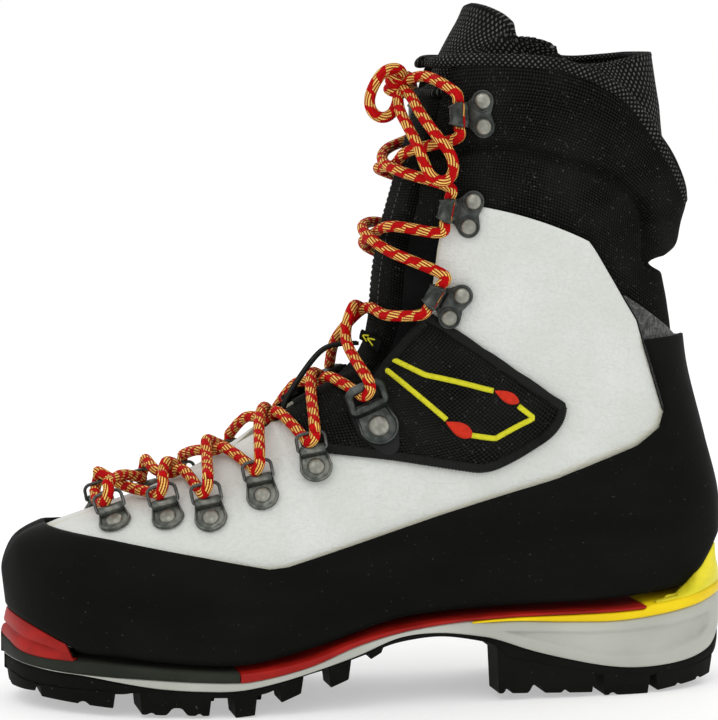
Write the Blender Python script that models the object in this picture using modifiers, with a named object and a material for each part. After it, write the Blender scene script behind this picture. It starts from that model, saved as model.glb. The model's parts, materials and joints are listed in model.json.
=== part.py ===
"""A laced mountaineering boot for the left foot, modelled as an assembly of its separate pieces.

Metres, +Z up. The boot stands on the XY plane, its toe points along -X and its outer (lateral) side faces -Y.
The upper is one lofted surface: a fan of sections that starts at the toe, turns round the instep and ends at
the collar. Every panel is a patch of that surface, moved in or out along its normals, so the layers nest.
"""

import math

import bmesh
import bpy
import numpy as np
from mathutils import Matrix, Vector

MM = 0.001
LATERAL, MEDIAL = -1, 1

# The frame: the origin is under the middle of the boot's box, on the ground.
SHIFT_X, SHIFT_Y = -6.4, 1.2

# Layers of the upper, as distances from the leather's outer face (mm, + is outward): outer face, thickness
RAND_LAYER = (2.8, 1.7)
LEATHER_LAYER = (0.0, 1.8)
PATCH_LAYER = (1.7, 1.0)
FELT_LAYER = (-0.2, 1.6)
STAY_LAYER = (-2.6, 1.6)
STIFFENER_LAYER = (-3.4, 1.5)
CUFF_LAYER = (-2.8, 3.4)
LINING_LAYER = (-7.6, 1.7)
TONGUE_LAYER = (-3.0, 3.4)
FLAP_LAYER = (-3.4, 2.4)

# Hardware (mm)
WIRE_R = 1.1
RING_REACH = 7.9
RING_HALF = 6.1
RING_TILT = math.radians(40)
HINGE_UP, HINGE_OUT = 6.4, 2.5
BARREL_R, BARREL_BORE, BARREL_HALF = 1.95, 1.4, 4.2
PLATE_T = 1.0
SEAT_GAP = 0.5
PATCH_LIFT = 2.3
HOOK_LIFT = 0.9
RIVET_R, RIVET_H = 3.7, 1.3
HOOK_HALF = 5.2
HOOK_BEND_R = 2.7
HOOK_REACH = 9.4
LACE_R = 2.1
LACE_CLEAR = 0.5

# Where the hardware sits on the surface: station, fraction of the way up the section
CLIP_SEATS = [(3.01, 0.93), (3.88, 0.871), (4.60, 0.796), (5.47, 0.777), (6.33, 0.755)]
LOCK_SEAT = (7.55, 0.783)
HOOK_SEATS = [(13.62, 0.796), (15.82, 0.785), (17.94, 0.829)]
LOCK_SCALE = 1.25

# The fan of sections (mm). Each row: bottom point x, z; ridge point x, z; half widths at the bottom edge, lateral
# and medial; greatest half widths, lateral and medial; y of the ridge; squareness at the bottom and at the ridge
# (1 is an ellipse, less is squarer); bow of the section above its straight line.
STATIONS = np.array([
    [-140.5, 31.0, -143.4, 55.0, -7.0, 7.0, -7.0, 7.0, 7.0, 0.75, 0.80, 0.0],
    [-135.5, 28.0, -138.0, 66.0, 12.5, 27.0, 14.0, 28.0, 7.0, 0.75, 0.80, 0.0],
    [-121.0, 25.5, -123.0, 73.0, 29.0, 38.5, 31.5, 40.5, 6.0, 0.75, 0.78, 0.0],
    [-100.0, 23.5, -103.0, 79.5, 40.0, 44.5, 43.0, 46.5, 5.0, 0.75, 0.78, 0.0],
    [-78.0, 21.0, -80.0, 87.5, 46.0, 46.5, 49.0, 49.0, 4.0, 0.75, 0.80, 0.0],
    [-54.0, 20.0, -58.0, 98.5, 48.5, 45.0, 51.0, 47.0, 3.0, 0.72, 0.82, 0.0],
    [-26.0, 25.5, -34.0, 115.0, 46.5, 39.0, 49.0, 42.0, 2.5, 0.68, 0.80, 0.0],
    [12.0, 35.5, -14.0, 129.0, 41.0, 31.5, 44.5, 38.0, 2.0, 0.62, 0.76, 0.0],
    [58.0, 38.0, -3.5, 138.0, 37.0, 31.5, 41.0, 36.5, 1.0, 0.55, 0.74, 0.0],
    [104.0, 38.5, 1.5, 146.0, 34.0, 32.5, 38.5, 36.5, 0.5, 0.50, 0.72, 0.0],
    [130.5, 40.5, 3.0, 152.5, 25.0, 24.5, 37.5, 36.0, 0.0, 0.50, 0.72, 0.0],
    [144.5, 42.6, 4.0, 159.0, 11.0, 11.0, 36.5, 36.0, 0.0, 0.50, 0.72, 0.0],
    [149.8, 46.8, 4.5, 165.0, 0.0, 0.0, 36.5, 36.0, 0.0, 0.50, 0.72, 0.0],
    [152.0, 76.0, 5.2, 173.0, 0.0, 0.0, 37.0, 36.5, 0.0, 0.52, 0.72, 0.0],
    [145.3, 104.0, 6.6, 182.0, 0.0, 0.0, 38.0, 37.5, 0.0, 0.56, 0.72, 2.0],
    [137.5, 133.0, 9.0, 193.0, 0.0, 0.0, 39.0, 38.5, 0.0, 0.60, 0.72, 6.0],
    [133.5, 158.0, 12.5, 205.0, 0.0, 0.0, 40.5, 40.0, 0.0, 0.62, 0.70, 12.0],
    [127.0, 175.0, 16.8, 219.0, 0.0, 0.0, 42.0, 41.5, 0.0, 0.62, 0.70, 20.0],
    [135.0, 192.0, 22.2, 237.0, 0.0, 0.0, 45.0, 44.5, 0.0, 0.62, 0.70, 21.0],
    [137.5, 209.0, 27.5, 257.0, 0.0, 0.0, 46.5, 46.0, 0.0, 0.64, 0.70, 20.0],
    [128.5, 238.0, 31.0, 263.0, 0.0, 0.0, 46.0, 45.5, 0.0, 0.64, 0.70, 8.0],
    [123.5, 266.0, 35.5, 268.0, 0.0, 0.0, 45.0, 44.5, 0.0, 0.64, 0.70, -2.0],
])
TOP_U = len(STATIONS) - 1
RIM_U = 19.0
THROAT_U = 5.35
# Half width of the opening that the tongue shows in (mm), by station
EYE_HALF = [(5.35, 0.0), (6.0, 11.0), (7.0, 17.0), (8.0, 19.5), (10.0, 21.0), (14.0, 22.0), (17.0, 23.5), (21.0, 27.0)]

# Panel edges in side view (mm): x, z
RAND_TOP = [(-134.0, 78.0), (-131.5, 74.0), (-127.0, 71.0), (-104.0, 68.5), (-72.0, 63.5), (-45.0, 58.8),
            (-38.0, 59.5), (-15.0, 66.0), (27.0, 78.0), (77.0, 91.0), (111.0, 103.5), (121.0, 110.5),
            (123.5, 118.0), (119.0, 132.0), (113.5, 147.0), (150.0, 149.0)]
RAND_FOOT_TOE = [(-150.0, 42.5), (-141.0, 38.0), (-118.0, 26.5), (-112.0, 20.0)]
RAND_FOOT_HEEL = [(118.0, 34.0), (131.0, 39.5), (140.0, 44.0), (149.0, 49.0), (160.0, 57.0)]
LEATHER_FRONT = [(4.0, 128.0), (16.0, 142.0), (25.0, 153.0), (26.5, 172.0), (28.0, 185.0), (33.0, 212.0)]
LEATHER_REAR = [(127.0, 96.0), (124.5, 114.0), (118.5, 132.0), (111.0, 155.0), (105.5, 163.0), (92.0, 184.0)]
LEATHER_TOP_U = 16.0
LINING_FOOT = [(-150.0, 46.0), (-120.0, 40.0), (-54.0, 37.0), (-10.0, 46.0), (30.0, 52.0), (160.0, 56.0)]
COUNTER_TOP = [(60.0, 54.0), (100.0, 80.0), (150.0, 96.0)]
PATCH_EDGE = [(-60.0, 118.0), (-44.5, 108.0), (-26.0, 104.0), (-5.0, 101.5), (11.0, 99.5), (36.0, 95.5), (46.5, 94.5),
              (56.0, 97.5), (71.5, 106.0), (78.0, 112.5), (80.0, 119.0), (78.5, 125.0), (73.5, 131.5),
              (65.0, 138.5), (52.5, 145.5), (40.0, 152.0), (29.0, 157.0), (0.0, 160.0)]

# Sole outline (mm): x, lateral half width, medial half width, at the edge of the welt
SOLE_OUTLINE = [(-146.5, -8.0, 8.0), (-142.0, 9.0, 23.0), (-135.0, 20.0, 33.0), (-120.0, 34.0, 43.0),
                (-100.0, 45.0, 49.5), (-76.0, 51.5, 51.5), (-52.0, 54.0, 50.0), (-24.0, 52.0, 44.0),
                (12.0, 46.5, 36.5), (50.0, 42.5, 35.5), (86.0, 41.0, 37.5), (116.0, 38.5, 37.5),
                (138.0, 31.0, 30.5), (151.0, 20.0, 20.0), (157.0, 9.0, 9.0), (159.0, 0.0, 0.0)]
# Heights of the sole's layers along the boot (mm): x, z
WELT_TOP = [(-149.0, 30.0), (-135.0, 26.5), (-112.0, 23.5), (-80.0, 20.0), (-56.0, 19.0), (-30.0, 23.0),
            (-8.0, 30.0), (18.0, 34.8), (52.0, 36.8), (104.0, 37.3), (134.0, 40.0), (159.0, 44.5)]
WELT_BOTTOM = [(-149.0, 20.5), (-130.0, 17.5), (-94.0, 16.0), (-72.0, 14.8), (-52.0, 14.8), (-30.0, 19.0),
               (-8.0, 26.2), (18.0, 31.3), (52.0, 33.2), (80.0, 32.0), (104.0, 31.5), (134.0, 34.5),
               (159.0, 39.5)]
MIDSOLE_BOTTOM = [(-149.0, 18.6), (-130.0, 16.0), (-112.0, 14.5), (-96.0, 11.8), (-72.0, 9.0), (-52.0, 9.2),
                  (-30.0, 14.5), (-8.0, 22.0), (12.0, 28.8), (26.0, 29.8), (44.0, 25.0), (69.0, 18.5),
                  (94.0, 13.5), (112.0, 11.5), (130.0, 13.5), (159.0, 24.0)]
SKIN_BOTTOM = [(-149.0, 13.5), (-130.0, 11.0), (-100.0, 8.5), (-72.0, 5.5), (-52.0, 5.6), (-30.0, 11.0),
               (-8.0, 19.0), (12.0, 25.8), (26.0, 26.8), (44.0, 22.0), (56.0, 16.0), (69.0, 12.0),
               (94.0, 7.0), (112.0, 6.5), (130.0, 6.5), (159.0, 9.5)]


def row_at(u):
    """The section's values at u, on a Catmull-Rom curve through the stations; the toe's front line mirrors."""
    u = min(max(u, 0.0), TOP_U - 1e-9)
    i = int(u)
    before = STATIONS[i - 1] if i else STATIONS[1].copy()
    if not i:
        before[4:8] = -STATIONS[1][[5, 4, 7, 6]]
    after = STATIONS[i + 2] if i + 2 <= TOP_U else 2 * STATIONS[i + 1] - STATIONS[i]
    a, b, t = STATIONS[i], STATIONS[i + 1], u - i
    return 0.5 * (2 * a + (b - before) * t + (2 * before - 5 * a + 4 * b - after) * t * t
                  + (3 * a - before - 3 * b + after) * t ** 3)


def side_widths(row, side):
    """(half width at the bottom edge, greatest half width), from the ridge's own y."""
    edge = row[5] - row[8] if side > 0 else row[4] + row[8]
    most = row[7] - row[8] if side > 0 else row[6] + row[8]
    return max(edge, 0.0), max(most, 1e-6)


def start_angle(u, side):
    """The angle that a section starts from: 0 where it closes behind the heel, nearly 90 degrees on the sole."""
    row = row_at(max(u, 0.06))
    edge, most = side_widths(row, side)
    return math.asin(min(1.0, (edge / most)) ** (1.0 / row[9]))


def angle_of(u, side, s):
    c = math.cos(start_angle(u, side))
    return math.acos(max(-1.0, min(1.0, c - s * (1 + c))))


def point(u, s, side):
    """A point of the leather's outer face (mm): s runs from the bottom edge, 0, to the ridge, 1."""
    row = row_at(u)
    bottom, ridge = row[0:2], row[2:4]
    along = ridge - bottom
    up = np.array([along[1], -along[0]]) / np.linalg.norm(along)
    x, z = bottom + along * s + up * row[11] * 4 * s * (1 - s)
    most = side_widths(row, side)[1]
    power = row[9] + (row[10] - row[9]) * s
    half = most * max(math.sin(angle_of(u, side, s)), 0.0) ** power
    return np.array([x, row[8] + side * half, z])


def frame_at(u, s, side):
    """(point, direction up the section, outward normal) at u, s."""
    step = 0.01
    du = point(u + step, s, side) - point(u - step, s, side)
    ds = point(u, s + step, side) - point(u, s - step, side)
    normal = np.cross(du, ds) * -side
    normal /= np.linalg.norm(normal)
    up = ds - normal * (ds @ normal)
    return point(u, s, side), up / np.linalg.norm(up), normal


def span(u, area):
    """The first and last fraction of section u that lie inside a side-view area."""
    row = row_at(u)

    def inside(s):
        x, z = point(u, s, LATERAL)[[0, 2]]
        hit = False
        for (x0, z0), (x1, z1) in zip(area, area[1:] + area[:1]):
            if (z0 > z) != (z1 > z) and x < x0 + (x1 - x0) * (z - z0) / (z1 - z0):
                hit = not hit
        return hit

    def edge(out, within):
        for _ in range(16):
            middle = 0.5 * (out + within)
            if inside(middle):
                within = middle
            else:
                out = middle
        return within

    marks = [i / 80 for i in range(81)]
    found = [i for i, s in enumerate(marks) if inside(s)]
    if not found or row[3] <= row[1]:
        return None
    first, last = found[0], found[-1]
    low = 0.0 if first == 0 else edge(marks[first - 1], marks[first])
    high = 1.0 if last == 80 else edge(marks[last + 1], marks[last])
    return low, high


def s_at_half(u, side, half):
    """The fraction, on the section's upper part, where its half width from the ridge's y is this."""
    row = row_at(u)
    c = math.cos(start_angle(u, side))
    low, high = c / (1 + c), 1.0
    for _ in range(24):
        middle = 0.5 * (low + high)
        if abs(point(u, middle, side)[1] - row[8]) > half:
            low = middle
        else:
            high = middle
    return high


def interpolate(table, x):
    """Straight-line reading of a table of pairs."""
    xs, ys = zip(*table)
    return float(np.interp(x, xs, ys))


def smooth(low, high, x):
    t = min(1.0, max(0.0, (x - low) / (high - low)))
    return t * t * (3 - 2 * t)


def surface_point(u, s, side, off):
    """A point at this distance from the surface; on the centre lines its normal has no sideways part."""
    p, _, n = frame_at(u, min(max(s, 1e-4), 1.0), side)
    closed = s >= 1.0 or u <= 0.0 or (s <= 0.0 and side_widths(row_at(u), side)[0] < 0.3)
    if closed:
        n = np.array([n[0], 0.0, n[2]])
        n /= np.linalg.norm(n)
        p = point(u, s, side)
        p[1] = row_at(u)[8]
    return p + n * off


def metres(p):
    return Vector(((p[0] + SHIFT_X) * MM, (p[1] + SHIFT_Y) * MM, p[2] * MM))


# Scene, materials and small builders ------------------------------------------------------------------------

for old in list(bpy.data.objects):
    bpy.data.objects.remove(old, do_unlink=True)

BOOT = bpy.data.collections.new("mountaineering_boot")
CUTTERS = bpy.data.collections.new("cutters")
bpy.context.scene.collection.children.link(BOOT)
bpy.context.scene.collection.children.link(CUTTERS)

PALETTE = {
    "leather": ((0.74, 0.75, 0.73), 0.55, 0.0),
    "rubber": ((0.012, 0.012, 0.013), 0.75, 0.0),
    "sole_rubber": ((0.015, 0.015, 0.016), 0.85, 0.0),
    "dark_grey": ((0.06, 0.06, 0.065), 0.7, 0.0),
    "red": ((0.45, 0.02, 0.015), 0.5, 0.0),
    "yellow": ((0.9, 0.6, 0.02), 0.5, 0.0),
    "light_grey": ((0.6, 0.61, 0.6), 0.6, 0.0),
    "black_fabric": ((0.012, 0.012, 0.014), 0.95, 0.0),
    "dotted_fabric": ((0.03, 0.032, 0.035), 0.95, 0.0),
    "felt": ((0.2, 0.2, 0.2), 0.95, 0.0),
    "board": ((0.35, 0.28, 0.2), 0.9, 0.0),
    "gunmetal": ((0.12, 0.13, 0.13), 0.35, 1.0),
    "wire": ((0.3, 0.3, 0.3), 0.3, 1.0),
    "lace": ((0.5, 0.02, 0.02), 0.8, 0.0),
}


def material(name):
    found = bpy.data.materials.get(name)
    if found:
        return found
    colour, roughness, metallic = PALETTE[name]
    made = bpy.data.materials.new(name)
    made.use_nodes = True
    shader = made.node_tree.nodes["Principled BSDF"]
    shader.inputs["Base Color"].default_value = (*colour, 1.0)
    shader.inputs["Roughness"].default_value = roughness
    shader.inputs["Metallic"].default_value = metallic
    made.diffuse_color = (*colour, 1.0)
    return made


def place(name, data, finish):
    """A named object of the boot, with its material."""
    made = bpy.data.objects.new(name, data)
    BOOT.objects.link(made)
    if not data.materials:
        data.materials.append(material(finish))
    return made


def mesh_from(name, bm):
    bmesh.ops.remove_doubles(bm, verts=bm.verts, dist=0.00002)
    bmesh.ops.recalc_face_normals(bm, faces=bm.faces)
    mesh = bpy.data.meshes.new(name)
    bm.to_mesh(mesh)
    bm.free()
    return mesh


# Panels of the upper ----------------------------------------------------------------------------------------

ROW_PER_RADIAN = 22.0
LACE_PER_RADIAN = 7.0


def travelled(points, per_radian):
    """Running length along points, with this much added for each radian that they turn through."""
    legs = np.diff(points, axis=0)
    lengths = np.maximum(np.linalg.norm(legs, axis=1), 1e-9)
    dots = np.sum(legs[1:] * legs[:-1], axis=1) / (lengths[1:] * lengths[:-1])
    turns = np.concatenate([[0.0], np.arccos(np.clip(dots, -1.0, 1.0))])
    return np.concatenate([[0.0], np.cumsum(lengths + per_radian * turns)])


def row_fractions(u, side, low, high, count):
    """Fractions along the section, closer together where it bends."""
    marks = [low + (high - low) * 0.5 * (1 - math.cos(math.pi * i / 60)) for i in range(61)]
    measure = travelled(np.array([point(u, m, side) for m in marks]), ROW_PER_RADIAN)
    return [float(np.interp(measure[-1] * i / count, measure, marks)) for i in range(count + 1)]


def panel(name, finish, columns, limits, layer, rows, sides=(LATERAL, MEDIAL)):
    """One panel: an open patch between limits(u, side), moved to its layer, then given its thickness inward.

    layer[0] is a distance or a function of u, fraction and side.
    """
    out, thickness = layer
    bm = bmesh.new()
    for side in sides:
        lines = []
        for u in columns:
            low, high = limits(u, side)
            line = []
            for s in row_fractions(u, side, low, high, rows):
                s = high if abs(s - high) < 1e-6 else s
                off = out(u, s, side) if callable(out) else out
                line.append(bm.verts.new(metres(surface_point(u, s, side, off))))
            lines.append(line)
        for a, b in zip(lines, lines[1:]):
            for i in range(rows):
                quad = (a[i], b[i], b[i + 1], a[i + 1]) if side == LATERAL else (a[i], a[i + 1], b[i + 1], b[i])
                bm.faces.new(quad)
    bmesh.ops.remove_doubles(bm, verts=bm.verts, dist=0.00002)
    mesh = bpy.data.meshes.new(name)
    bm.to_mesh(mesh)
    bm.free()
    made = place(name, mesh, finish)
    solid = made.modifiers.new("thickness", "SOLIDIFY")
    solid.thickness = thickness * MM
    solid.offset = -1.0
    return made


def steps(*stops):
    """Columns from (start, end, count) stretches that share their ends."""
    made = []
    for start, end, count in stops:
        made += [start + (end - start) * i / count for i in range(count)]
    return made + [stops[-1][1]]


RAND_AREA = (RAND_TOP + [(175.0, 149.0), (175.0, 62.0)] + RAND_FOOT_HEEL[::-1]
             + [(118.0, 5.0), (-112.0, 5.0)] + RAND_FOOT_TOE[::-1] + [(-175.0, 50.0), (-175.0, 78.0)])
LEATHER_AREA = (LEATHER_FRONT + [(60.0, 225.0)] + LEATHER_REAR[::-1]
                + [(175.0, 96.0), (175.0, 5.0), (-175.0, 5.0), (-175.0, 160.0), (-10.0, 140.0)])
FELT_AREA = [(x + 1.2, z) for x, z in LEATHER_REAR] + [(92.0, 230.0), (190.0, 230.0), (190.0, 96.0)]
TOE_INSERT_AREA = ([(x, z - 0.9) for x, z in RAND_FOOT_TOE]
                   + [(-112.0, 5.0), (-175.0, 5.0), (-175.0, 50.0)])
LINING_AREA = LINING_FOOT + [(175.0, 60.0), (175.0, 300.0), (-175.0, 300.0), (-175.0, 46.0)]
COUNTER_AREA = COUNTER_TOP + [(175.0, 96.0), (175.0, 50.0), (60.0, 46.0)]
TOE_PUFF_AREA = [(-175.0, 36.0), (-60.0, 36.0), (-60.0, 110.0), (-175.0, 110.0)]
BOTTOM_S = 0.02
REAR_START = 0.17
EDGE_S = 0.008


def eye_s(u, side, extra=0.0):
    """Where a panel stops at the opening for the tongue."""
    if u <= THROAT_U:
        return 1.0
    return s_at_half(u, side, max(interpolate(EYE_HALF, u) + extra, 0.05))


def in_area(area, floor=BOTTOM_S):
    def limits(u, side):
        low, high = span(u, area)
        return max(low, floor if side_widths(row_at(u), side)[0] > 0.3 else 0.0), high
    return limits


def leather_limits(u, side):
    low, high = in_area(LEATHER_AREA)(u, side)
    if 13.4 <= u < 14.0:
        low = REAR_START * ((u - 13.4) / 0.6) ** 1.5
    return low, min(high, eye_s(u, side), 0.85 if u < 0.1 else 1.0)


def leather_offset(u, s, side):
    return LEATHER_LAYER[0] - 3.0 * (1 - smooth(0.4, 1.5, u))


def stay_limits(u, side):
    """The fabric strip between the leather's front edge and the tongue."""
    return min(span(u, LEATHER_AREA)[1], eye_s(u, side)) - 0.07, eye_s(u, side, 0.4)


def cuff_limits(u, side):
    return 0.0, eye_s(u, side)


def cuff_offset(u, s, side):
    return CUFF_LAYER[0] * (1 - smooth(15.9, 16.9, u))


def lining_limits(u, side):
    low = in_area(LINING_AREA)(u, side)[0]
    if u <= THROAT_U:
        return low, 1.0
    most = side_widths(row_at(u), side)[1]
    return low, s_at_half(u, side, most * (0.3 + 0.55 * smooth(THROAT_U, THROAT_U + 0.8, u)))


def lining_offset(u, s, side):
    return LINING_LAYER[0] + 6.0 * smooth(19.25, 20.2, u)


def tongue_limits(u, side):
    return eye_s(max(u, 6.0), side, 6.0), 1.0


def tongue_offset(u, s, side):
    half = abs(point(u, s, side)[1] - row_at(u)[8])
    eye = interpolate(EYE_HALF, max(u, 5.8))
    return TONGUE_LAYER[0] - 4.4 * smooth(eye - 6.0, eye - 1.0, half)


def patch_limits(u, side):
    low, high = span(u, PATCH_EDGE)
    return low, min(high, min(span(u, LEATHER_AREA)[1], eye_s(u, side)) - EDGE_S)


def flap_point(u, s, side):
    """The tongue's top: it leaves the collar's line and leans back, highest in the middle."""
    half = abs(point(min(u, 20.9), s, side)[1])
    off = FLAP_LAYER[0] - 8.2 * smooth(14.0, 26.0, half)
    p = surface_point(min(u, 20.9), s, side, off)
    rise = smooth(18.4, 22.4, u) * smooth(0.57, 0.96, s)
    return p + np.array([16.0, 0.0, 19.0]) * rise


def make_upper():
    toe = steps((0.0, 3.0, 8), (3.0, 9.0, 6))
    heel = steps((9.4, 12.2, 8))
    panel("rand", "rubber", toe + heel + steps((12.6, 14.6, 5), (14.9, 15.5, 3)), in_area(RAND_AREA),
          RAND_LAYER, 4)
    panel("toe_insert", "red", steps((0.0, 1.8, 4)), in_area(TOE_INSERT_AREA), (2.4, 1.6), 1)
    panel("leather_upper", "leather", toe + heel + steps((12.6, 13.4, 2), (13.4, 14.0, 4), (14.0, 16.0, 4)),
          leather_limits, (leather_offset, LEATHER_LAYER[1]), 8)
    panel("heel_felt", "felt", steps((14.0, 15.2, 3)), in_area(FELT_AREA), FELT_LAYER, 2)
    panel("toe_puff", "board", toe[1:8], in_area(TOE_PUFF_AREA), (-5.4, 1.4), 5)
    panel("heel_counter", "board", heel + [12.6, 13.0], in_area(COUNTER_AREA),
          STIFFENER_LAYER, 6)
    for side, name in ((LATERAL, "lateral"), (MEDIAL, "medial")):
        panel("ankle_patch_" + name, "black_fabric", steps((6.2, 12.9, 9)), patch_limits, PATCH_LAYER, 4, (side,))
        panel("eyestay_" + name, "black_fabric", steps((7.8, 15.2, 7)), stay_limits, STAY_LAYER, 2, (side,))
    panel("cuff", "black_fabric", steps((15.35, 19.0, 6)), cuff_limits, (cuff_offset, CUFF_LAYER[1]), 8)
    panel("collar_lining", "dotted_fabric", steps((1.3, 3.0, 3), (3.0, 9.0, 6), (9.5, 13.5, 5), (14.0, 20.9, 9)),
          lining_limits, (lining_offset, LINING_LAYER[1]), 6)


def sheet_object(name, finish, rows_of_points, thickness):
    """A sheet through rows of points (mm), thickened away from its front."""
    bm = bmesh.new()
    rows = [[bm.verts.new(metres(p)) for p in row] for row in rows_of_points]
    for a, b in zip(rows, rows[1:]):
        for i in range(len(a) - 1):
            bm.faces.new((a[i], a[i + 1], b[i + 1], b[i]))
    mesh = bpy.data.meshes.new(name)
    bm.to_mesh(mesh)
    bm.free()
    made = place(name, mesh, finish)
    solid = made.modifiers.new("thickness", "SOLIDIFY")
    solid.thickness = thickness * MM
    solid.offset = -1.0
    return made


def ridge_point(u, off, sideways=0.0):
    """A point above the ridge, moved sideways along the surface."""
    if abs(sideways) < 0.01:
        return surface_point(u, 1.0, LATERAL, off)
    side = LATERAL if sideways < 0 else MEDIAL
    return surface_point(u, s_at_half(u, side, abs(sideways)), side, off)


def make_tongue():
    """The tongue and what is sewn to it. It hinges where it leaves the vamp."""
    panel("tongue", "black_fabric", steps((5.45, 9.0, 6), (9.0, 18.2, 9)), tongue_limits,
          (tongue_offset, TONGUE_LAYER[1]), 5)
    heights = [18.45 + (22.4 - 18.45) * i / 5 for i in range(6)]
    fractions = [0.62, 0.67, 0.73, 0.79, 0.87, 0.94, 1.0]
    rows = []
    for u in heights:
        near = [flap_point(u, s, LATERAL) for s in fractions]
        far = [flap_point(u, s, MEDIAL) for s in fractions[-2::-1]]
        rows.append((near + far)[::-1])
    sheet_object("tongue_flap", "dotted_fabric", rows, FLAP_LAYER[1])
    rows = []
    for i in range(7):
        u = STRAP_SPAN[0] + (STRAP_SPAN[1] - STRAP_SPAN[0]) * i / 6
        off = -2.0 + STRAP_RISE * smooth(0.0, 1.3, i) * (1 - smooth(4.0, 6.0, i))
        rows.append([ridge_point(u, off) + np.array([0.0, y, 0.0]) for y in (STRAP_HALF, -STRAP_HALF)])
    sheet_object("lace_keeper", "black_fabric", rows, 0.6)
    rows = []
    for u in (8.85, 9.15, 9.45):
        rows.append([ridge_point(u, 1.6) + np.array([0.0, y, 0.0]) for y in (LABEL_HALF, -LABEL_HALF)])
    sheet_object("tongue_label", "black_fabric", rows, 3.2)


STRAP_SPAN = (6.2, 8.6)
STRAP_RISE = 11.5
STRAP_HALF = 3.5
LABEL_HALF = 8.0


# The sole ---------------------------------------------------------------------------------------------------

def outline_at(x, side, inset):
    """y of the sole's edge at x, moved inward by an inset."""
    xs, lateral, medial = zip(*SOLE_OUTLINE)
    first, last = xs[0] + inset, xs[-1] - inset
    middle = 0.5 * (first + last)
    stretch = (xs[-1] - xs[0]) / (last - first)
    x = middle + (x - middle) * stretch - (middle - 0.5 * (xs[0] + xs[-1]))
    half = np.interp(x, xs, medial if side > 0 else lateral)
    centre = 0.5 * (np.interp(x, xs, medial) - np.interp(x, xs, lateral))
    return side * max(half - inset, side * centre + 0.8)


def slab(xs, inset, top, bottom):
    """A closed slab along the sole: its outline moved in, its faces at two curves of height."""
    bm = bmesh.new()
    rings = []
    for x in xs:
        corners = []
        for side, height in ((LATERAL, bottom), (MEDIAL, bottom), (MEDIAL, top), (LATERAL, top)):
            z = height(x) if callable(height) else interpolate(height, x)
            corners.append(bm.verts.new(metres((x, outline_at(x, side, inset), z))))
        rings.append(corners)
    for a, b in zip(rings, rings[1:]):
        for i in range(4):
            j = (i + 1) % 4
            bm.faces.new((a[i], a[j], b[j], b[i]))
    bm.faces.new(rings[0][::-1])
    bm.faces.new(rings[-1])
    return bm


def moved(table, dz):
    return [(x, z + dz) for x, z in table]


def red_bottom(x):
    """The red plate thins to a strip over the heel wedge."""
    thin = interpolate(WELT_TOP, x) - WELT_GAP - 1.3
    full = interpolate(WELT_BOTTOM, x)
    return full + (thin - full) * smooth(8.0, 50.0, x)


def yellow_top(x):
    under = red_bottom(x) - LAYER_GAP
    full = interpolate(WELT_TOP, x) - WELT_GAP
    return under + (full - under) * smooth(115.2, 116.2, x)


LAYER_GAP = 0.3
WELT_GAP = 0.9
SOLE_XS = [-146.3, -145.3, -142.0, -138.0, -130.0, -120.0, -108.0, -94.0, -80.0, -66.0, -52.0, -38.0, -24.0,
           -8.0, 10.0, 26.0, 44.0, 56.0, 70.0, 86.0, 104.0, 118.0, 130.0, 140.0, 148.0, 154.0, 157.5, 158.8]


def sole_xs(low, high, *extra):
    return sorted({x for x in SOLE_XS if low < x < high} | {low, high} | set(extra))


def make_sole():
    welt_top = moved(WELT_TOP, -WELT_GAP)
    place("toe_welt", mesh_from("toe_welt", slab(sole_xs(-146.3, -57.6), 0.0, welt_top, WELT_BOTTOM)), "dark_grey")
    place("welt_plate", mesh_from("welt_plate", slab(sole_xs(-57.2, 115.0), 0.0, welt_top, red_bottom)), "red")
    place("heel_welt", mesh_from("heel_welt", slab(sole_xs(40.0, 158.8, 115.2, 116.2), 0.0, yellow_top, WELT_BOTTOM)),
          "yellow")
    place("midsole", mesh_from("midsole", slab(sole_xs(-144.8, 157.0), 1.0, moved(WELT_BOTTOM, -LAYER_GAP),
                                               MIDSOLE_BOTTOM)), "light_grey")
    board_xs = sole_xs(-134.0, 140.0)
    place("insole_board", mesh_from("insole_board", slab(board_xs, 12.5, moved(WELT_TOP, 4.2),
                                                         moved(WELT_TOP, 2.2))), "board")
    place("footbed", mesh_from("footbed", slab(sole_xs(-124.0, 134.0), 17.0, moved(WELT_TOP, 9.0),
                                               moved(WELT_TOP, 4.6))), "felt")
    shank = slab(sole_xs(-60.0, 110.0), 26.0, moved(WELT_TOP, 1.4), moved(WELT_TOP, -0.4))
    place("shank", mesh_from("shank", shank), "wire")
    make_outsole()


# Lugs: x at the front and rear of each, and the height of the ground side
LUGS = [(-142.5, -134.0, 9.5), (-131.5, -120.5, 5.5), (-116.5, -105.5, 2.4), (-101.5, -90.0, 0.4),
        (-86.0, -74.0, 0.0), (-70.0, -58.5, 0.0), (-54.5, -44.0, 0.0), (-41.0, -31.5, 4.8), (-24.0, -14.5, 10.0),
        (-8.5, -1.0, 17.8), (52.0, 68.0, 0.0), (72.0, 88.0, 0.0), (92.0, 107.0, 0.0), (111.0, 124.0, 0.0),
        (127.5, 139.5, 0.4), (143.0, 153.5, 1.8)]
LUG_INSET = (1.2, 19.0)
CENTRE_LUGS = [(-122.0, -108.0, 4.5), (-97.0, -81.0, 0.6), (-73.0, -57.0, 0.0), (-49.0, -36.0, 1.0)]
LUG_ROOT = 1.2


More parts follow.
